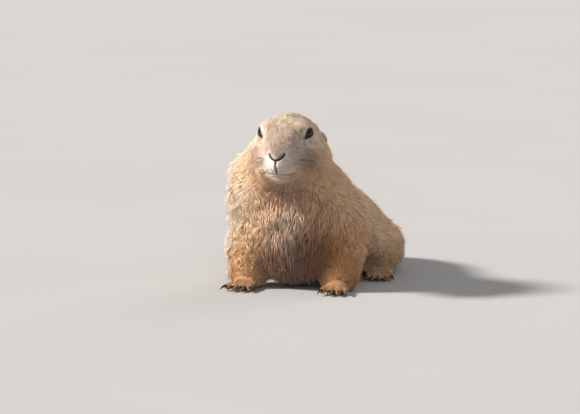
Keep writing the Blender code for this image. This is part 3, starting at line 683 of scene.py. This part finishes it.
def thinned(skin, places, count):
    """Thins the skin's mesh, and least on the face."""
    own = in_head(places)
    keep = (own[:, 1] < -14) & (own[:, 2] > 86)
    group = skin.vertex_groups.new(name="coarse")
    group.add(np.flatnonzero(~keep).tolist(), 1.0, "REPLACE")
    group.add(np.flatnonzero(keep).tolist(), 0.25, "REPLACE")
    thin = skin.modifiers.new("thin", "DECIMATE")
    thin.ratio = min(1.0, SKIN_FACES / count)
    thin.use_collapse_triangulate = True
    thin.vertex_group = "coarse"
    thin.vertex_group_factor = 0.002
    applied(skin)
    skin.vertex_groups.clear()


def build_skin():
    """One skin inside the coat, with lids, nostrils and mouth, and the lines of its face."""
    skin = melted()
    places, tris = arrays_of(skin)
    edges = edges_of(tris)
    places = lids(shrunk(places, tris, edges), edges)
    lines = face_lines(places, tris)
    places = sink_lines(places, tris, lines)
    places[:, 2] = np.maximum(places[:, 2], FLOOR_GAP)
    set_places(skin.data, places)
    skin.data.update()
    thinned(skin, places, len(tris))
    skin.data.shade_smooth()
    return skin, lines


def lids(places, edges):
    """Draws the skin over each eye as two lids with a gap between them, and sinks the gap."""
    for side in (1, -1):
        centre = eye_axes(side)[0]
        share, reach = lid_share(places, side)
        near = (share < 3) & (reach < 14)
        share, radius = share[near], reach[near]
        way = unit(places[near] - centre)
        rise = np.clip((share - 1) / 0.5, 0, 1)
        lid = EYE_RADIUS + 0.3 + 0.9 * rise * (2 - rise)
        most = lid + 5.5 * np.clip(share - 1.15, 0, 9) ** 1.3
        least = lid - 1.6 * np.clip(share - 1.5, 0, 9)
        outside = np.clip(radius, least, most)
        inside = EYE_RADIUS - 0.9
        mix = np.clip((share - 0.92) / 0.08, 0, 1)
        new = inside * (1 - mix) + outside * mix
        fade = np.clip((3 - share) / 1.2, 0, 1)
        fade = fade * fade * (3 - 2 * fade)
        radius = radius + (new - radius) * fade
        places[near] = centre + way * radius[:, None]
        share, reach = lid_share(places, side)
        soft = np.clip((share - 1.3) / 0.5, 0, 1) * np.clip((4 - share), 0, 1) * (reach < 18)
        places = blurred(places, edges, 8, 0.5 * soft[:, None])
    return places


def sink_lines(places, tris, lines):
    """Sinks the nostrils, the cleft of the lip and the mouth, with rounded lips beside them."""
    for path, width, depth in lines:
        normals = normals_of(places, tris)
        gap = line_gap(places, path)
        sink = depth * np.exp(-((gap / width) ** 2))
        swell = 0.28 * np.exp(-(((gap - 2.2 * width) / width) ** 2))
        places = places - normals * (sink - swell)[:, None]
    return places


def ear_frame(side):
    """An ear's middle, and unit vectors along its height, across it and out of its hollow."""
    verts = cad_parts["ear_" + side].data.vertices
    corners = np.array([vertex.co for vertex in verts]) / MM - ORIGIN
    middle = (corners.min(axis=0) + corners.max(axis=0)) / 2
    long_way, cross_way, out_way = np.linalg.svd(corners - corners.mean(axis=0))[2]
    outward = middle - from_head(EAR_INSIDE)
    out_way = out_way * np.sign(out_way @ outward)
    return middle, long_way, cross_way, out_way


def ear_rim(side):
    """A rounded rim that stands a little out of the fur round the ear's hollow."""
    middle, long_way, cross_way, out_way = ear_frame(side)
    turn = np.linspace(0, math.tau, 40)[:, None]
    path = middle + EAR_RIM_LONG * np.cos(turn) * long_way
    path = path + EAR_RIM_ACROSS * np.sin(turn) * cross_way + EAR_RIM_OUT * out_way
    thick = np.full((len(path), 2), EAR_RIM_THICK)
    return tube(np.hstack([path, thick]), 12, out_way)


def ear_gap(places):
    """The distance from each place to the solid of the nearest ear."""
    corners = [np.array(vertex.co) / MM - ORIGIN for side in ("left", "right")
               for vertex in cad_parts["ear_" + side].data.vertices]
    tree = KDTree(len(corners))
    for k, corner in enumerate(corners):
        tree.insert(corner, k)
    tree.balance()
    close = np.flatnonzero(np.abs(in_head(places) - EAR_INSIDE).max(axis=1) < 42)
    gap = np.full(len(places), 50.0)
    gap[close] = [tree.find(place)[2] for place in places[close].tolist()]
    return gap


def barycentric(points, corners):
    """Weights of the three corners for points in their triangles."""
    a, b, c = (corners[:, k] for k in range(3))
    v0, v1, v2 = b - a, c - a, points - a
    d00, d01, d11 = (v0 * v0).sum(1), (v0 * v1).sum(1), (v1 * v1).sum(1)
    d20, d21 = (v2 * v0).sum(1), (v2 * v1).sum(1)
    scale = np.maximum(d00 * d11 - d01 * d01, 1e-12)
    v = (d11 * d20 - d01 * d21) / scale
    w = (d00 * d21 - d01 * d20) / scale
    return np.clip(np.stack([1 - v - w, v, w], 1), 0, 1)


def bake_map(skin, roots):
    """Each root's place on an unwrap of the skin's own shape, from a coarse copy of it."""
    copy = skin.copy()
    copy.data = skin.data.copy()
    bpy.context.scene.collection.objects.link(copy)
    thin = copy.modifiers.new("thin", "DECIMATE")
    thin.ratio = COARSE_FACES / len(copy.data.polygons)
    applied(copy)
    bpy.ops.object.select_all(action="DESELECT")
    copy.select_set(True)
    bpy.context.view_layer.objects.active = copy
    bpy.ops.object.mode_set(mode="EDIT")
    bpy.ops.mesh.select_all(action="SELECT")
    bpy.ops.uv.smart_project(angle_limit=math.radians(66), island_margin=0.004)
    bpy.ops.object.mode_set(mode="OBJECT")
    places, tris = arrays_of(copy)
    loops = np.empty(len(copy.data.loops) * 2, np.float32)
    copy.data.uv_layers.active.data.foreach_get("uv", loops)
    loops = loops.reshape(-1, 2)
    corners = np.empty(len(tris) * 3, np.int32)
    copy.data.loop_triangles.foreach_get("loops", corners)
    corners = corners.reshape(-1, 3)
    tree = BVHTree.FromPolygons(places.tolist(), tris.tolist())
    found = np.array([tree.find_nearest(root)[2] for root in roots.tolist()])
    weights = barycentric(roots, places[tris[found]])
    bpy.data.objects.remove(copy)
    return (loops[corners[found]] * weights[:, :, None]).sum(axis=1)


# A bent tuft is a spindle: a point at its root, three corners at its bend and a point at its tip.
# A straight one has its three corners at the root.
BENT = ((0, 2, 1), (0, 3, 2), (0, 1, 3), (4, 1, 2), (4, 2, 3), (4, 3, 1))
STRAIGHT = ((3, 0, 1), (3, 1, 2), (3, 2, 0), (0, 2, 1))


def strands(root, bend, tip, side, up, width, bent):
    """Vertices and triangles of many tapered tufts, and where each vertex lies on its tuft."""
    half, rise = side * (width * 0.5)[:, None], up * (width * 0.32)[:, None]
    middle = bend if bent else root
    ring = [middle + half, middle - half, middle + rise]
    verts = np.stack([root, *ring, tip] if bent else [*ring, tip], axis=1)
    pattern = np.array(BENT if bent else STRAIGHT)
    tris = (pattern[None] + (np.arange(len(root)) * verts.shape[1])[:, None, None]).reshape(-1, 3)
    across = (0.5, 0, 1, 0.5, 0.5) if bent else (0, 1, 0.5, 0.5)
    along = (0, 1, 1, 1, 2) if bent else (0, 0, 0, 2)
    return verts, tris, np.array(across), np.array(along)


def sample_roots(places, tris, cover):
    """Scatters roots over the skin, closer where the hair is short, and says how each lies."""
    a, b, c = (places[tris[:, k]] for k in range(3))
    area = np.linalg.norm(np.cross(b - a, c - a), axis=1) / 2
    middle = (a + b + c) / 3
    _, _, length, _ = lie_of(middle)
    share = tail_share(middle)
    length = np.where(share >= 0, 14.0, length)
    width = hair_width(length)
    wanted = area * cover / (0.5 * width * length)
    wanted[middle[:, 2] < 0.6] *= 0.2
    total = np.cumsum(wanted)
    count = int(total[-1])
    picks = (np.arange(count) + RNG.uniform(0, 1, count)) * (total[-1] / count)
    chosen = np.minimum(np.searchsorted(total, picks), len(tris) - 1)
    u, v = RNG.uniform(0, 1, (2, count))
    flip = u + v > 1
    u, v = np.where(flip, 1 - u, u), np.where(flip, 1 - v, v)
    roots = a[chosen] + (b - a)[chosen] * u[:, None] + (c - a)[chosen] * v[:, None]
    weights = np.stack([1 - u - v, u, v], 1)
    return roots, chosen, weights


def hair_width(length):
    """The width of a tuft of this length."""
    return (0.13 + 0.046 * length) * 1.0


def beside_features(roots, flow, length, lift, lines):
    """Which roots stay, off the eyes and the face's lines, and the hair fitted beside them."""
    keep = np.ones(len(roots), bool)
    for side in (1, -1):
        lid, reach = lid_share(roots, side)
        keep &= ~((reach < 16) & (lid < 1.16))
        centre, gaze, _, _ = eye_axes(side)
        apart = np.linalg.norm(roots - centre - gaze * EYE_RADIUS, axis=1)
        length = length * (0.4 + 0.6 * np.clip((apart - 4.5) / 8, 0, 1))
        push = np.exp(-((np.maximum(apart - 4, 0) / 3.5) ** 2))
        flow = flow + unit(roots - centre) * (1.2 * push)[:, None]
    near_ear = np.clip((4 - ear_gap(roots)) / 3, 0, 1)
    length = length + (1.2 - length) * near_ear
    lift = lift + (20 - lift) * near_ear
    for path, width, _ in lines:
        gap = line_gap(roots, path)
        keep &= gap > width * 1.2
        length = length * np.clip(0.35 + gap / 6, 0, 1)
    return keep, flow, length, lift


def along_tail(share, flow, length, lift):
    """The hair's way, length and lift, with the tail's own for roots that lie on it."""
    on_tail = share >= 0
    last = len(TAIL_PATH) - 1
    step = np.clip((share * last).astype(int), 0, last - 1)
    heading = unit(TAIL_PATH[step + 1, :3] - TAIL_PATH[step, :3])
    flow = np.where(on_tail[:, None], heading, flow)
    length = np.where(on_tail, 13 + 11 * share, length)
    lift = np.where(on_tail, 22 - 6 * share, lift)
    return flow, length, lift


def build_coat(skin, lines):
    """Makes the tufts and splits them into pieces by the solid that they stand for."""
    places, tris = arrays_of(skin)
    normals = blurred(normals_of(places, tris), edges_of(tris), 6, 0.6)
    roots, chosen, weights = sample_roots(places, tris, COVER)
    normal = unit((normals[tris[chosen]] * weights[:, :, None]).sum(axis=1))
    flow, _, length, lift = lie_of(roots)
    share = tail_share(roots)
    keep, flow, length, lift = beside_features(roots, flow, length, lift, lines)
    flow, length, lift = along_tail(share, flow, length, lift)
    roots, normal, flow, length, lift, share = (
        value[keep] for value in (roots, normal, flow, length, lift, share))

    count = len(roots)
    flow = level(flow, normal)
    streak = roots - 0.7 * flow * (roots * flow).sum(1, keepdims=True)
    flow = unit(flow) + (0.16 * drift(roots, 16, 3) + 0.12 * drift(roots, 5, 6))
    flow = level(flow + RNG.normal(size=(count, 3)) * 0.14, normal)
    lead = leaders(0.4 * roots + 0.6 * streak)
    guard = RNG.uniform(0, 1, count) < GUARD_SHARE
    ruffled = np.clip((-roots[:, 0] - 36) / 16, 0, 1) * (roots[:, 1] < 40)
    stands = RNG.uniform(0, 1, count)[lead] < 0.015 + 0.17 * ruffled
    stands &= length > 4
    length = length * RNG.uniform(0.78, 1.22, count) * (1 + 0.1 * waves(roots, 9, 9))
    lift = np.radians(lift * RNG.uniform(0.6, 1.45, count) * (1 + 0.2 * waves(roots, 12, 10)))
    width = hair_width(length) * RNG.uniform(0.8, 1.25, count) * np.where(guard, 0.6, 1)
    length = length * np.where(guard, 1.25, 1) * np.where(stands, 1.3, 1)
    lift = lift * np.where(guard, 1.15, 1) + stands * (0.12 + 0.2 * ruffled)

    rise, lay = np.sin(lift)[:, None], np.cos(lift)[:, None]
    bend = roots + unit(flow * lay + normal * rise * 1.5) * (length * 0.42)[:, None]
    tip = roots + unit(flow * lay + normal * rise * 0.85) * length[:, None]
    tip = clumped(roots, tip, length, lead, stands)
    side = unit(np.cross(flow, normal))
    bend, tip = kept_inside(bend), kept_inside(tip)
    tints = tints_of(roots, share, lead, length, streak)
    return pieces_of(skin, roots - normal * 0.25, bend, tip, side, normal, width, length, tints)


def leaders(roots):
    """For each tuft the one that it follows, so that tufts gather into clumps."""
    picks = RNG.permutation(len(roots))[: len(roots) // CLUMP]
    tree = KDTree(len(picks))
    for k, place in enumerate(roots[picks].tolist()):
        tree.insert(place, k)
    tree.balance()
    return picks[np.array([tree.find(place)[1] for place in roots.tolist()])]


def clumped(roots, tip, length, lead, stands):
    """Draws the tips of a clump together, closer where the clump stands out."""
    pull = np.clip((length - 1.5) / 10, 0.1, 0.5) * RNG.uniform(0.4, 1.2, len(roots))
    pull = np.where(stands, 0.7, pull)
    far = np.linalg.norm(roots - roots[lead], axis=1) > 0.6 * length
    pull = np.where(far, 0, pull)[:, None]
    drawn = tip + (tip[lead] - tip) * pull
    return roots + unit(drawn - roots) * length[:, None]


def kept_inside(places):
    """Presses places that pass the solids' own box by much back to it, and up from the floor."""
    low, high = (np.array(corner) / MM - ORIGIN for corner in CAD_BOX)
    low, high = low - BEYOND, high + BEYOND
    places = np.where(places < low, low + 0.2 * (places - low), places)
    places = np.where(places > high, high + 0.2 * (places - high), places)
    places[:, 2] = np.maximum(places[:, 2], 0.35 + 0.5 * RNG.uniform(0, 1, len(places)))
    return places


def colours_of(roots, share):
    """The coat's colour at each root, with its painted light and shade, before the hairs differ."""
    colour = felt(roots + 1.5 * drift(roots, 7, 20), MARKS_AND_SHADING)
    colour = colour @ linear([row[3] for row in MARKS_AND_SHADING])
    steps = linear(TAIL_COLOURS)
    t = np.clip(share, 0, 1)[:, None]
    first = steps[0] + (steps[1] - steps[0]) * np.clip((t - 0.3) / 0.3, 0, 1)
    tail = first + (steps[2] - first) * np.clip((t - 0.62) / 0.16, 0, 1)
    blend = np.clip((share - TAIL_START) / 0.06, 0, 1)[:, None]
    return colour + (tail - colour) * blend


def groups_of(roots):
    """The name of the solid nearest to each root, as an index into NODES."""
    trees = KDTree(sum(len(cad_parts[n].data.vertices) for n in NODES))
    owner = []
    for k, node in enumerate(NODES):
        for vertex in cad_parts[node].data.vertices:
            trees.insert(vertex.co, len(owner))
            owner.append(k)
    trees.balance()
    owner = np.array(owner)
    return owner[[trees.find(place)[1] for place in in_metres(roots).tolist()]]


def tints_of(roots, share, lead, length, streak):
    """The colours of each tuft at its root, bend and tip, with streaks that follow the hair, and
    painted shade darkening the root.
    """
    count = len(roots)
    luck = RNG.uniform(0, 1, (count, 2))
    shared = RNG.uniform(0, 1, (count, 2))[lead]
    head = in_head(roots)
    chest, throat = about(roots, CHEST), about(roots, THROAT)
    crown, muzzle, cheek = (about(head, spot) for spot in (CROWN, MUZZLE, CHEEK))
    bright = 1 + 0.12 * (shared[:, 0] - 0.5) + 0.34 * (luck[:, 0] - 0.5)
    bright += (0.07 + 0.05 * chest) * waves(streak, 3.5, 30, 9) + 0.05 * waves(roots, 9, 32)
    speck = np.clip(waves(streak, 2.4, 31, 9) - 0.25, 0, 0.8)
    bright -= 0.75 * (crown + muzzle + throat) * speck
    bright -= 0.8 * cheek * np.clip(waves(streak, 3, 33, 9), 0, 0.8)
    bright -= 0.45 * chest * np.clip(waves(streak, 5, 34, 9) - 0.3, 0, 0.9)
    warm = 1 + (luck[:, :1] - 0.5) * np.array((0.05, 0.0, -0.12))
    colour = colours_of(roots, share) * bright[:, None] * warm
    flecks = 0.03 + 0.16 * chest + 0.28 * throat + 0.22 * crown + 0.14 * muzzle
    dark = 0.4 * shared[:, 0] + 0.6 * luck[:, 1] < 0.6 * flecks + 0.1
    pale = 0.3 * shared[:, 1] + 0.7 * luck[:, 1] > 0.84 - 0.1 * crown
    # painted shade: each tuft's root is darker, the more so where the hair is long, for the shade
    # deep in the coat
    depth = np.interp(length, (1.5, 4, 9), (0.85, 0.7, 0.58))[:, None]
    root = colour * depth * (1, 0.96, 0.92)
    end = colour * np.where(dark, 0.4, np.where(pale, 1.5, 1.22))[:, None]
    middle = colour * np.where(dark, 0.75, 1)[:, None]
    tints = np.stack([root, middle, end], 1)
    return tints * np.minimum(0.9 / tints.max(axis=2, keepdims=True), 1)


def pieces_of(skin, roots, bend, tip, side, normal, width, length, tints):
    """Splits the coat by region and builds each piece with its colours and bake map."""
    uv = bake_map(skin, roots)
    group = groups_of(roots)
    made = []
    for k, node in enumerate(NODES):
        for bent in (True, False):
            picks = np.flatnonzero((group == k) & ((length > LONG_HAIR) == bent))
            if len(picks) == 0:
                continue
            parts = math.ceil(len(picks) * (6 if bent else 4) / PIECE_FACES)
            for part, chunk in enumerate(np.array_split(picks, parts)):
                verts, tris, across, along = strands(
                    roots[chunk], bend[chunk], tip[chunk], side[chunk], normal[chunk],
                    width[chunk], bent)
                name = f"coat_{node}_{'long' if bent else 'short'}_{part}"
                piece = mesh_object(name, verts.reshape(-1, 3), tris)
                paint(piece.data, tints[chunk][:, along].reshape(-1, 3))
                spread = np.stack([across - 0.5, along / 2 - 0.5], 1) * BAKE_PATCH
                places = (uv[chunk][:, None] + spread[None]).reshape(-1, 2)
                layer = piece.data.uv_layers.new(name="OFBake")
                layer.data.foreach_set("uv", places[tris.ravel()].astype(np.float32).ravel())
                made.append(piece)
    return made


def shader_of(name):
    """A new material, its node tree and its Principled shader."""
    made = bpy.data.materials.new(name)
    made.use_nodes = True
    return made, made.node_tree, made.node_tree.nodes["Principled BSDF"]


def add(tree, kind, **settings):
    """A node with its own settings, and values for its sockets by name."""
    node = tree.nodes.new(kind)
    for key, value in settings.items():
        if key in node.inputs:
            node.inputs[key].default_value = value
        else:
            setattr(node, key, value)
    return node


def wire(tree, *pairs):
    """Joins sockets, each pair given as node, output, node and input."""
    for start, way_out, end, way_in in pairs:
        tree.links.new(start.outputs[way_out], end.inputs[way_in])


def noise_of(tree, scale, detail, roughness=0.5):
    """Noise in the piece's own axes."""
    place = add(tree, "ShaderNodeTexCoord")
    noise = add(tree, "ShaderNodeTexNoise", Scale=scale, Detail=detail, Roughness=roughness)
    wire(tree, (place, "Object", noise, "Vector"))
    return noise


def ranged(tree, noise, low, high, start=0.0, end=1.0):
    """The noise from start to end as numbers from low to high."""
    limits = {"From Min": start, "From Max": end, "To Min": low, "To Max": high}
    node = add(tree, "ShaderNodeMapRange", **limits)
    wire(tree, (noise, "Fac", node, "Value"))
    return node


def coat_colour(tree, shader, grain):
    """Colours the shader with the coat's own colours times a grain."""
    colour = add(tree, "ShaderNodeAttribute", attribute_name="coat")
    mix = add(tree, "ShaderNodeVectorMath", operation="MULTIPLY")
    wire(tree, (colour, "Color", mix, 0), (grain, "Result", mix, 1),
         (mix, "Vector", shader, "Base Color"))


def two_tints(tree, shader, noise, low, high):
    """Colours the shader from a low to a high tint by the noise."""
    ramp = add(tree, "ShaderNodeValToRGB")
    ramp.color_ramp.elements[0].color = (*low, 1)
    ramp.color_ramp.elements[1].color = (*high, 1)
    wire(tree, (noise, "Fac", ramp, "Fac"), (ramp, "Color", shader, "Base Color"))


def bumped(tree, shader, noise, strength, distance):
    """Gives the shader bumps from the noise."""
    bump = add(tree, "ShaderNodeBump", Strength=strength, Distance=distance)
    wire(tree, (noise, "Fac", bump, "Height"), (bump, "Normal", shader, "Normal"))


def coat_material():
    """Hair: the coat's own colours with a fine grain, a dry sheen and little gloss."""
    made, tree, shader = shader_of("coat_hair")
    noise = noise_of(tree, 900.0, 2.0)
    coat_colour(tree, shader, ranged(tree, noise, 0.82, 1.16, 0.3, 0.7))
    wire(tree, (ranged(tree, noise, 0.5, 0.8), "Result", shader, "Roughness"))
    shader.inputs["Specular IOR Level"].default_value = 0.3
    shader.inputs["Sheen Weight"].default_value = 0.25
    shader.inputs["Sheen Roughness"].default_value = 0.4
    return made


def skin_material():
    """Skin under the coat: the coat's colours, darker with painted shade, with the grain of short
    flat hair.
    """
    made, tree, shader = shader_of("skin_fur")
    noise = noise_of(tree, 1400.0, 4.0, 0.65)
    bumped(tree, shader, noise, 0.5, 0.0004)
    coat_colour(tree, shader, ranged(tree, noise, 0.6, 1.3))
    shader.inputs["Roughness"].default_value = 0.8
    return made


def eye_material():
    """A dark brown iris, almost black, round a black pupil, under a clear wet coat."""
    made, tree, shader = shader_of("eye_gloss")
    ring = add(tree, "ShaderNodeAttribute", attribute_name="ring")
    ramp = add(tree, "ShaderNodeValToRGB")
    for at, tint in EYE_RINGS[2:]:
        ramp.color_ramp.elements.new(at)
    for element, (at, tint) in zip(ramp.color_ramp.elements, EYE_RINGS):
        element.position = at
        element.color = (*tint, 1)
    wire(tree, (ring, "Fac", ramp, "Fac"), (ramp, "Color", shader, "Base Color"))
    shader.inputs["Roughness"].default_value = 0.05
    shader.inputs["Specular IOR Level"].default_value = 0.35
    return made


def dark_material(name, tint, roughness, scale, strength):
    """Bare dark skin or horn, with fine grain in its colour and surface."""
    made, tree, shader = shader_of(name)
    noise = noise_of(tree, scale, 3.0)
    two_tints(tree, shader, noise, np.array(tint) * 0.55, np.array(tint) * 1.5)
    bumped(tree, shader, noise, strength, 0.0002)
    shader.inputs["Roughness"].default_value = roughness
    return made


def wear(obj, material, slot, *nodes):
    """Gives a piece its material, and lets it ride on the body and replace nodes. The slot is not
    used.
    """
    obj.data.materials.clear()
    obj.data.materials.append(material)
    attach(obj, "root")
    if nodes:
        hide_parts(*nodes)


def colour_skin(skin, lines):
    """Paints the skin with the coat's colours, with their painted light and shade, darker with
    painted shade under deep coat and in the ears' hollows, and its bare places, with painted shade
    along the face's grooves.
    """
    places, _ = arrays_of(skin)
    _, depth, length, _ = lie_of(places)
    share = tail_share(places)
    colour = colours_of(places, share)
    # painted shade: the skin darker where the hair over it is long
    shade = np.interp(length, (1.5, 3.0, 8.0), (0.9, 0.6, 0.36))
    colour = colour * shade[:, None]
    dark = np.array(DARK_SKIN_AND_SHADE)
    for side in (1, -1):
        lid, reach = lid_share(places, side)
        mask = np.clip((1.16 - lid) / 0.08, 0, 1) * (reach < 12)
        colour += (dark - colour) * mask[:, None]
    # bare dark skin and painted shade along the nostrils, the lip's cleft and the mouth
    for path, width, _ in lines:
        mask = np.clip((width * 1.25 - line_gap(places, path)) / (width * 0.6), 0, 1)
        colour += (dark - colour) * mask[:, None]
    # painted shade: the skin darker in each ear's hollow
    for side in ("left", "right"):
        middle, long_way, cross_way, out_way = ear_frame(side)
        apart = places - middle
        share = np.hypot(apart @ long_way / EAR_RIM_LONG, apart @ cross_way / EAR_RIM_ACROSS)
        hollow = np.clip((0.95 - share) / 0.3, 0, 1) * (np.abs(apart @ out_way) < 4)
        colour *= 1 - 0.5 * hollow[:, None]
    paint(skin.data, colour)


def build_eyes(material):
    """Each eye is a ball with a low cornea, and the dark rim of its lids."""
    rim_material = dark_material("lid_rim", (0.012, 0.010, 0.010), 0.35, 2500.0, 0.3)
    for side, word in ((1, "left"), (-1, "right")):
        centre, gaze, forwards, above = eye_axes(side)
        bm = bmesh.new()
        bmesh.ops.create_uvsphere(bm, u_segments=64, v_segments=40, radius=1.0)
        turn = Matrix((forwards, above * side, gaze)).transposed().to_4x4()
        for vertex in bm.verts:
            bulge = 0.45 * max(0.0, vertex.co.z - 0.55)
            vertex.co *= EYE_RADIUS - 0.05 + bulge
        ring = np.array([math.acos(min(1, max(-1, v.co.normalized().z))) for v in bm.verts])
        bm.transform(turn)
        bmesh.ops.recalc_face_normals(bm, faces=bm.faces)
        mesh = mesh_of(bm, "eyeball_" + word)
        places = np.empty(len(mesh.vertices) * 3, np.float32)
        mesh.vertices.foreach_get("co", places)
        set_places(mesh, places.reshape(-1, 3) + centre)
        mesh.shade_smooth()
        mesh.attributes.new("ring", "FLOAT", "POINT").data.foreach_set(
            "value", np.clip(ring, 0, 1).astype(np.float32))
        wear(placed("eyeball_" + word, mesh), material, "eye", "eye_" + word)
        path = lid_edge(side, 1.02, EYE_RADIUS + 0.35, 56)
        path = np.vstack([path, path[:2]])
        rows = np.hstack([path, np.full((len(path), 1), 0.36), np.full((len(path), 1), 0.3)])
        rim = mesh_object("lid_rim_" + word, *tube(rows, 10, gaze))
        wear(rim, rim_material, "eye")


def build_claws():
    """Dark horn claws on every toe."""
    horn = dark_material("claw_horn", (0.035, 0.026, 0.020), 0.32, 700.0, 0.25)
    for name, parts in paws()[1].items():
        piece = mesh_object("claws_" + name, *joined(parts))
        wear(piece, horn, "paw" if name.startswith("fore") else "foot", name)


def build_whiskers(skin):
    """Fine tapered whiskers from the pads beside the nose."""
    places, tris = arrays_of(skin)
    tree = BVHTree.FromPolygons(places.tolist(), tris.tolist())
    random = np.random.default_rng(5)
    parts = []
    for side in (1, -1):
        roots = [(row, k) for row in WHISKER_ROWS for k in range(4)]
        for row, k in roots:
            place = np.array(row) + random.normal(size=3) * (0.6, 1.2, 0.8) + (0, k * 1.4, k - 1.5)
            place[0] *= side
            start, normal, _, _ = tree.find_nearest(Vector(from_head(place)))
            start = np.array(start)
            way = np.array(HEAD.to_3x3()) @ unit(np.array(
                (side * random.uniform(0.75, 1.0), random.uniform(0.35, 0.9),
                 random.uniform(-0.45, 0.25))))
            length = random.uniform(13, 24)
            share = np.linspace(0, 1, 9)[:, None]
            path = start + way * length * share
            path[:, 2] -= 3.2 * share[:, 0] ** 2 * random.uniform(0.3, 1.3)
            path[:, 1] += 3.0 * share[:, 0] ** 2
            thick = 0.085 * (1 - 0.85 * share)
            parts.append(tube(np.hstack([path, thick, thick]), 5, (0, 0, 1)))
    hairs = mesh_object("whiskers", *joined(parts))
    tint = dark_material("whisker_hair", (0.05, 0.04, 0.035), 0.4, 400.0, 0.1)
    wear(hairs, tint, "head_fur")


def build_floor():
    """A wide, pale, matt floor."""
    bm = bmesh.new()
    bmesh.ops.create_circle(bm, cap_ends=True, cap_tris=True, segments=96, radius=9)
    floor = placed("floor", mesh_of(bm, "floor"))
    floor.location.z = -0.0002
    made, tree, shader = shader_of("floor_matt")
    two_tints(tree, shader, noise_of(tree, 3.0, 3.0), (0.33, 0.32, 0.31), (0.37, 0.355, 0.345))
    shader.inputs["Roughness"].default_value = 0.9
    floor.data.materials.append(made)


def light(name, way, softness, power, tint):
    """A far, soft light that shines from this way, as many degrees across as its softness."""
    lamp = bpy.data.lights.new(name, "SUN")
    lamp.angle = math.radians(softness)
    lamp.energy = power
    lamp.color = tint
    made = placed(name, lamp)
    made.location = way
    made.rotation_mode = "QUATERNION"
    made.rotation_quaternion = Vector(way).to_track_quat("Z", "Y")


def build_studio():
    """Soft lights, with the key high on the camera's left, and the camera at the photo's angle."""
    world = bpy.data.worlds.new("studio")
    bpy.context.scene.world = world
    world.use_nodes = True
    sky = world.node_tree.nodes["Background"]
    sky.inputs["Color"].default_value = (0.80, 0.82, 0.86, 1)
    sky.inputs["Strength"].default_value = 0.5
    bpy.context.scene.view_settings.view_transform = "Standard"
    light("key", (-1.7, -0.5, 1.25), 9, 7.2, (1.0, 0.965, 0.925))
    light("fill", (0.9, -1.9, 1.1), 14, 0.5, (0.93, 0.96, 1.0))
    light("back", (0.7, 1.6, 1.4), 30, 0.6, (1.0, 0.97, 0.93))
    azimuth, height = math.radians(CAMERA_AZIMUTH), math.radians(CAMERA_HEIGHT)
    back = Vector((math.sin(azimuth) * math.cos(height), -math.cos(azimuth) * math.cos(height),
                   math.sin(height)))
    camera = placed("camera", bpy.data.cameras.new("camera"))
    camera.data.sensor_width = SENSOR
    camera.data.lens = SENSOR * CAMERA_AWAY / VIEW_WIDTH
    camera.data.clip_end = 100
    camera.location = Vector(in_metres(AIM)) + back * CAMERA_AWAY
    camera.rotation_mode = "QUATERNION"
    camera.rotation_quaternion = back.to_track_quat("Z", "Y")
    bpy.context.scene.camera = camera


build_studio()
build_floor()
skin, lines = build_skin()
coat = build_coat(skin, lines)
colour_skin(skin, lines)
wear(skin, skin_material(), "chest_fur", *FLESH, *REDRAWN)
hair = coat_material()
for piece in coat:
    piece.data.materials.append(hair)
    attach(piece, "root")
build_eyes(eye_material())
build_claws()
build_whiskers(skin)
